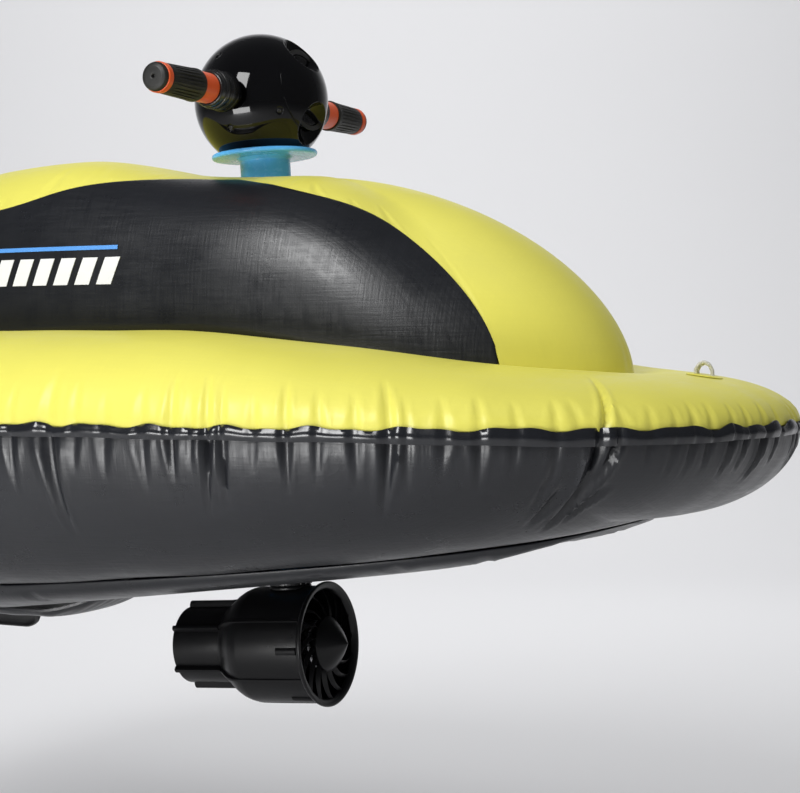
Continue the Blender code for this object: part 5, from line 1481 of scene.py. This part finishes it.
class MakePropeller(PieceMaker):
    """Three-bladed propeller and the knurled collar on the neck"""
    bl_idname = "scooter.propeller"
    bl_label = "Propeller and collar"

    def make(self, scene):
        hub = turned("hub", [(0.0090, -0.0900), (0.0118, -0.0915), (0.0130, -0.0945), (0.0128, -0.1080),
                             (0.0112, -0.1160), (0.0043, -0.1160), (0.0043, -0.0900)],
                     finish("satin_black"), THRUSTER, round_by=0.0012)
        parts = [hub] + [self.blade(2 * math.pi * index / 3) for index in range(3)]
        settle(joined("propeller_screw", parts), "propeller", "matte_black", "propeller")
        collar = turned("knurled_collar", [(0.0274, -0.2006), (0.0274, -0.2119), (0.0268, -0.2125),
                                           (0.0243, -0.2125), (0.0243, -0.2000), (0.0268, -0.2000)],
                        finish("satin_black"), STEERING, steps=240, round_by=0.0006,
                        relief=lambda a, r, z: np.where(r > 0.026, -0.0010 * smooth_step(
                            (np.cos(a * 20) - 0.1) / 0.4), 0))
        settle(collar, "steering", "matte_black", "strut_collar")

    def blade(self, spin):
        rows = []
        root, tip, middle = 0.0105, 0.0440, -0.1030
        for share in np.linspace(0, 1, 18):
            radius = root + (tip - root) * share
            pitch = math.radians(58 - 30 * share)
            chord = (0.0100 * math.sqrt(max(1 - (share * 0.92) ** 6, 0))
                     * (0.85 + 0.15 * math.sin(math.pi * share)))
            thick = 0.0011 * (1 - 0.55 * share)
            along = Vector((0, math.cos(pitch), math.sin(pitch)))
            across = Vector((0, -math.sin(pitch), math.cos(pitch)))
            ring = []
            for swing in np.linspace(0, 2 * math.pi, 20, endpoint=False):
                ring.append(Vector((radius, 0, middle)) + along * chord * math.cos(swing)
                            + across * thick * math.sin(swing) * (1.0 + 0.35 * math.cos(swing)))
            rows.append(ring)
        made = lofted("blade", rows, finish("satin_black"))
        made.data.transform(THRUSTER @ Matrix.Rotation(spin, 4, "Z"))
        return made


KEPT_FINISHES = {
    "steering_shaft": "steel", "motor_shaft": "steel", "motor_can": "steel", "motor_stator": "satin_black",
    "head_base": "satin_black", "button_cup": "satin_black", "battery_pack": "battery_wrap",
    "control_board": "circuit_board", "button_dome": "grip_black", "shaft_seal": "grip_black",
    "motor_cable": "grip_black", "upper_bush": "grip_black", "lower_bush": "grip_black",
    "cap_gasket": "grip_black", "bar_tube_port": "orange_plastic", "bar_tube_starboard": "orange_plastic",
    "pod_web_fore": "black_skin", "pod_web_aft": "black_skin",
}


class DressKeptParts(PieceMaker):
    """Finishes of the parts that keep their shape from the packed model"""
    bl_idname = "scooter.kept_parts"
    bl_label = "Inner parts"

    def make(self, scene):
        for node, paint in KEPT_FINISHES.items():
            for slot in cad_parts[node].material_slots:
                slot.material = finish(paint)


# ---------------------------------------------------------------- stage
VIEW_SPOT, VIEW_AZIMUTH, VIEW_DROP = (1.248, -2.162, 0.08), math.radians(26.5), math.radians(1.216)


class LayStage(PieceMaker):
    """Floor, backdrop, lights and camera"""
    bl_idname = "scooter.stage"
    bl_label = "Stage"

    def make(self, scene):
        settings = scene.scooter_stage
        floor = settings.floor
        rows = []
        across = Vector((math.cos(VIEW_AZIMUTH), math.sin(VIEW_AZIMUTH), 0))
        back = Vector((-across.y, across.x, 0))
        start, bend = 3.6, 2.5
        line = [(-9.0, floor), (-4.0, floor), (0.0, floor), (start, floor)]
        line += [(start + bend * math.sin(a), floor + bend - bend * math.cos(a))
                 for a in np.linspace(0.12, math.pi / 2, 14)]
        line += [(start + bend, floor + 5.0), (start + bend, floor + 8.0)]
        for depth, height in line:
            rows.append([back * depth + across * side + Vector((0, 0, height)) for side in (-12, -4, 4, 12)])
        made = new_piece("studio_sweep", [point for row in rows for point in row],
                         grid_faces(len(rows), 4, False), self.paper(scene))
        world = bpy.data.worlds.new("studio")
        scene.world = world
        world.use_nodes = True
        air = world.node_tree.nodes["Background"]
        air.inputs["Color"].default_value = (0.86, 0.88, 0.92, 1)
        air.inputs["Strength"].default_value = settings.room
        scene.view_settings.view_transform = "Standard"
        aim = Vector((0.0, 0.0, 0.10))
        self.softbox("key_softbox", (-0.25, -2.45, 1.75), (0, 0, 0.40), 0.95, 1.25, settings.key)
        self.softbox("top_softbox", (0.1, -0.2, 2.7), aim, 2.6, 2.6, settings.top, mirrored=False)
        self.softbox("bow_softbox", (3.0, 0.4, 1.2), aim, 1.6, 1.6, settings.fill, mirrored=False)
        self.softbox("low_softbox", (-0.25, -2.30, -0.45), (0, 0, 0.0), 1.3, 0.40, settings.low)
        over_sweep = back * 2.2 + Vector((0, 0, 3.4))
        self.softbox("sweep_softbox", over_sweep, back * 5.2 + Vector((0, 0, 0.4)), 5.0, 2.0, settings.sweep,
                     mirrored=False)
        camera = bpy.data.cameras.new("view_camera")
        camera.lens = settings.lens
        camera.sensor_width = 36.0
        made = placed("view_camera", camera)
        made.location = VIEW_SPOT
        made.rotation_euler = (math.pi / 2 - VIEW_DROP, 0, VIEW_AZIMUTH)
        scene.camera = made

    def paper(self, scene):
        made, tree, shader = blank_finish("studio_paper")
        colour = tuple(scene.scooter_colours.backdrop)
        cloud = noise(tree, 0.6, detail=2.0)
        tree.links.new(two_tone(tree, cloud, shade(colour, 0.985), shade(colour, 1.0)),
                       shader.inputs["Base Color"])
        shader.inputs["Roughness"].default_value = 0.85
        shader.inputs["Specular IOR Level"].default_value = 0.1
        return made

    def softbox(self, name, spot, aim, width, height, power_value, mirrored=True):
        light = bpy.data.lights.new(name, "AREA")
        light.shape = "RECTANGLE"
        light.size, light.size_y = width, height
        light.energy = power_value
        made = placed(name, light)
        made.visible_camera = False
        made.visible_glossy = mirrored
        made.location = spot
        made.rotation_euler = (Vector(aim) - Vector(spot)).to_track_quat("-Z", "Y").to_euler()


MAKERS = (MakeTubeSkins, MakeKeelSkin, MakeWeldBand, MakePodSkins, MakeStripes, MakeSternPad, MakeTowLoop,
          MakeValves, MakeColumn, MakeHeadShells, MakeHeadFittings, MakeHandlebar, MakeThrusterCase,
          MakeIntakeGuard, MakePropeller, DressKeptParts, LayStage)


class ScooterPanel(bpy.types.Panel):
    """Lists the scooter's makers and their settings"""
    bl_idname = "VIEW3D_PT_scooter"
    bl_label = "Water scooter"
    bl_space_type = "VIEW_3D"
    bl_region_type = "UI"
    bl_category = "Scooter"

    def draw(self, context):
        layout = self.layout
        for name, group in GROUPS.items():
            box = layout.box()
            box.label(text=group.__doc__)
            settings = getattr(context.scene, name)
            for key in group.__annotations__:
                box.prop(settings, key)
        for maker in MAKERS:
            layout.operator(maker.bl_idname, text=maker.bl_label)


def register():
    for group in GROUPS.values():
        bpy.utils.register_class(group)
    for name, group in GROUPS.items():
        setattr(bpy.types.Scene, name, PointerProperty(type=group))
    for maker in MAKERS + (ScooterPanel,):
        bpy.utils.register_class(maker)


def unregister():
    for maker in reversed(MAKERS + (ScooterPanel,)):
        bpy.utils.unregister_class(maker)
    for name in GROUPS:
        delattr(bpy.types.Scene, name)
    for group in reversed(list(GROUPS.values())):
        bpy.utils.unregister_class(group)


def main():
    register()
    for maker in MAKERS:
        group, name = maker.bl_idname.split(".")
        getattr(getattr(bpy.ops, group), name)()


if __name__ == "__main__":
    main()
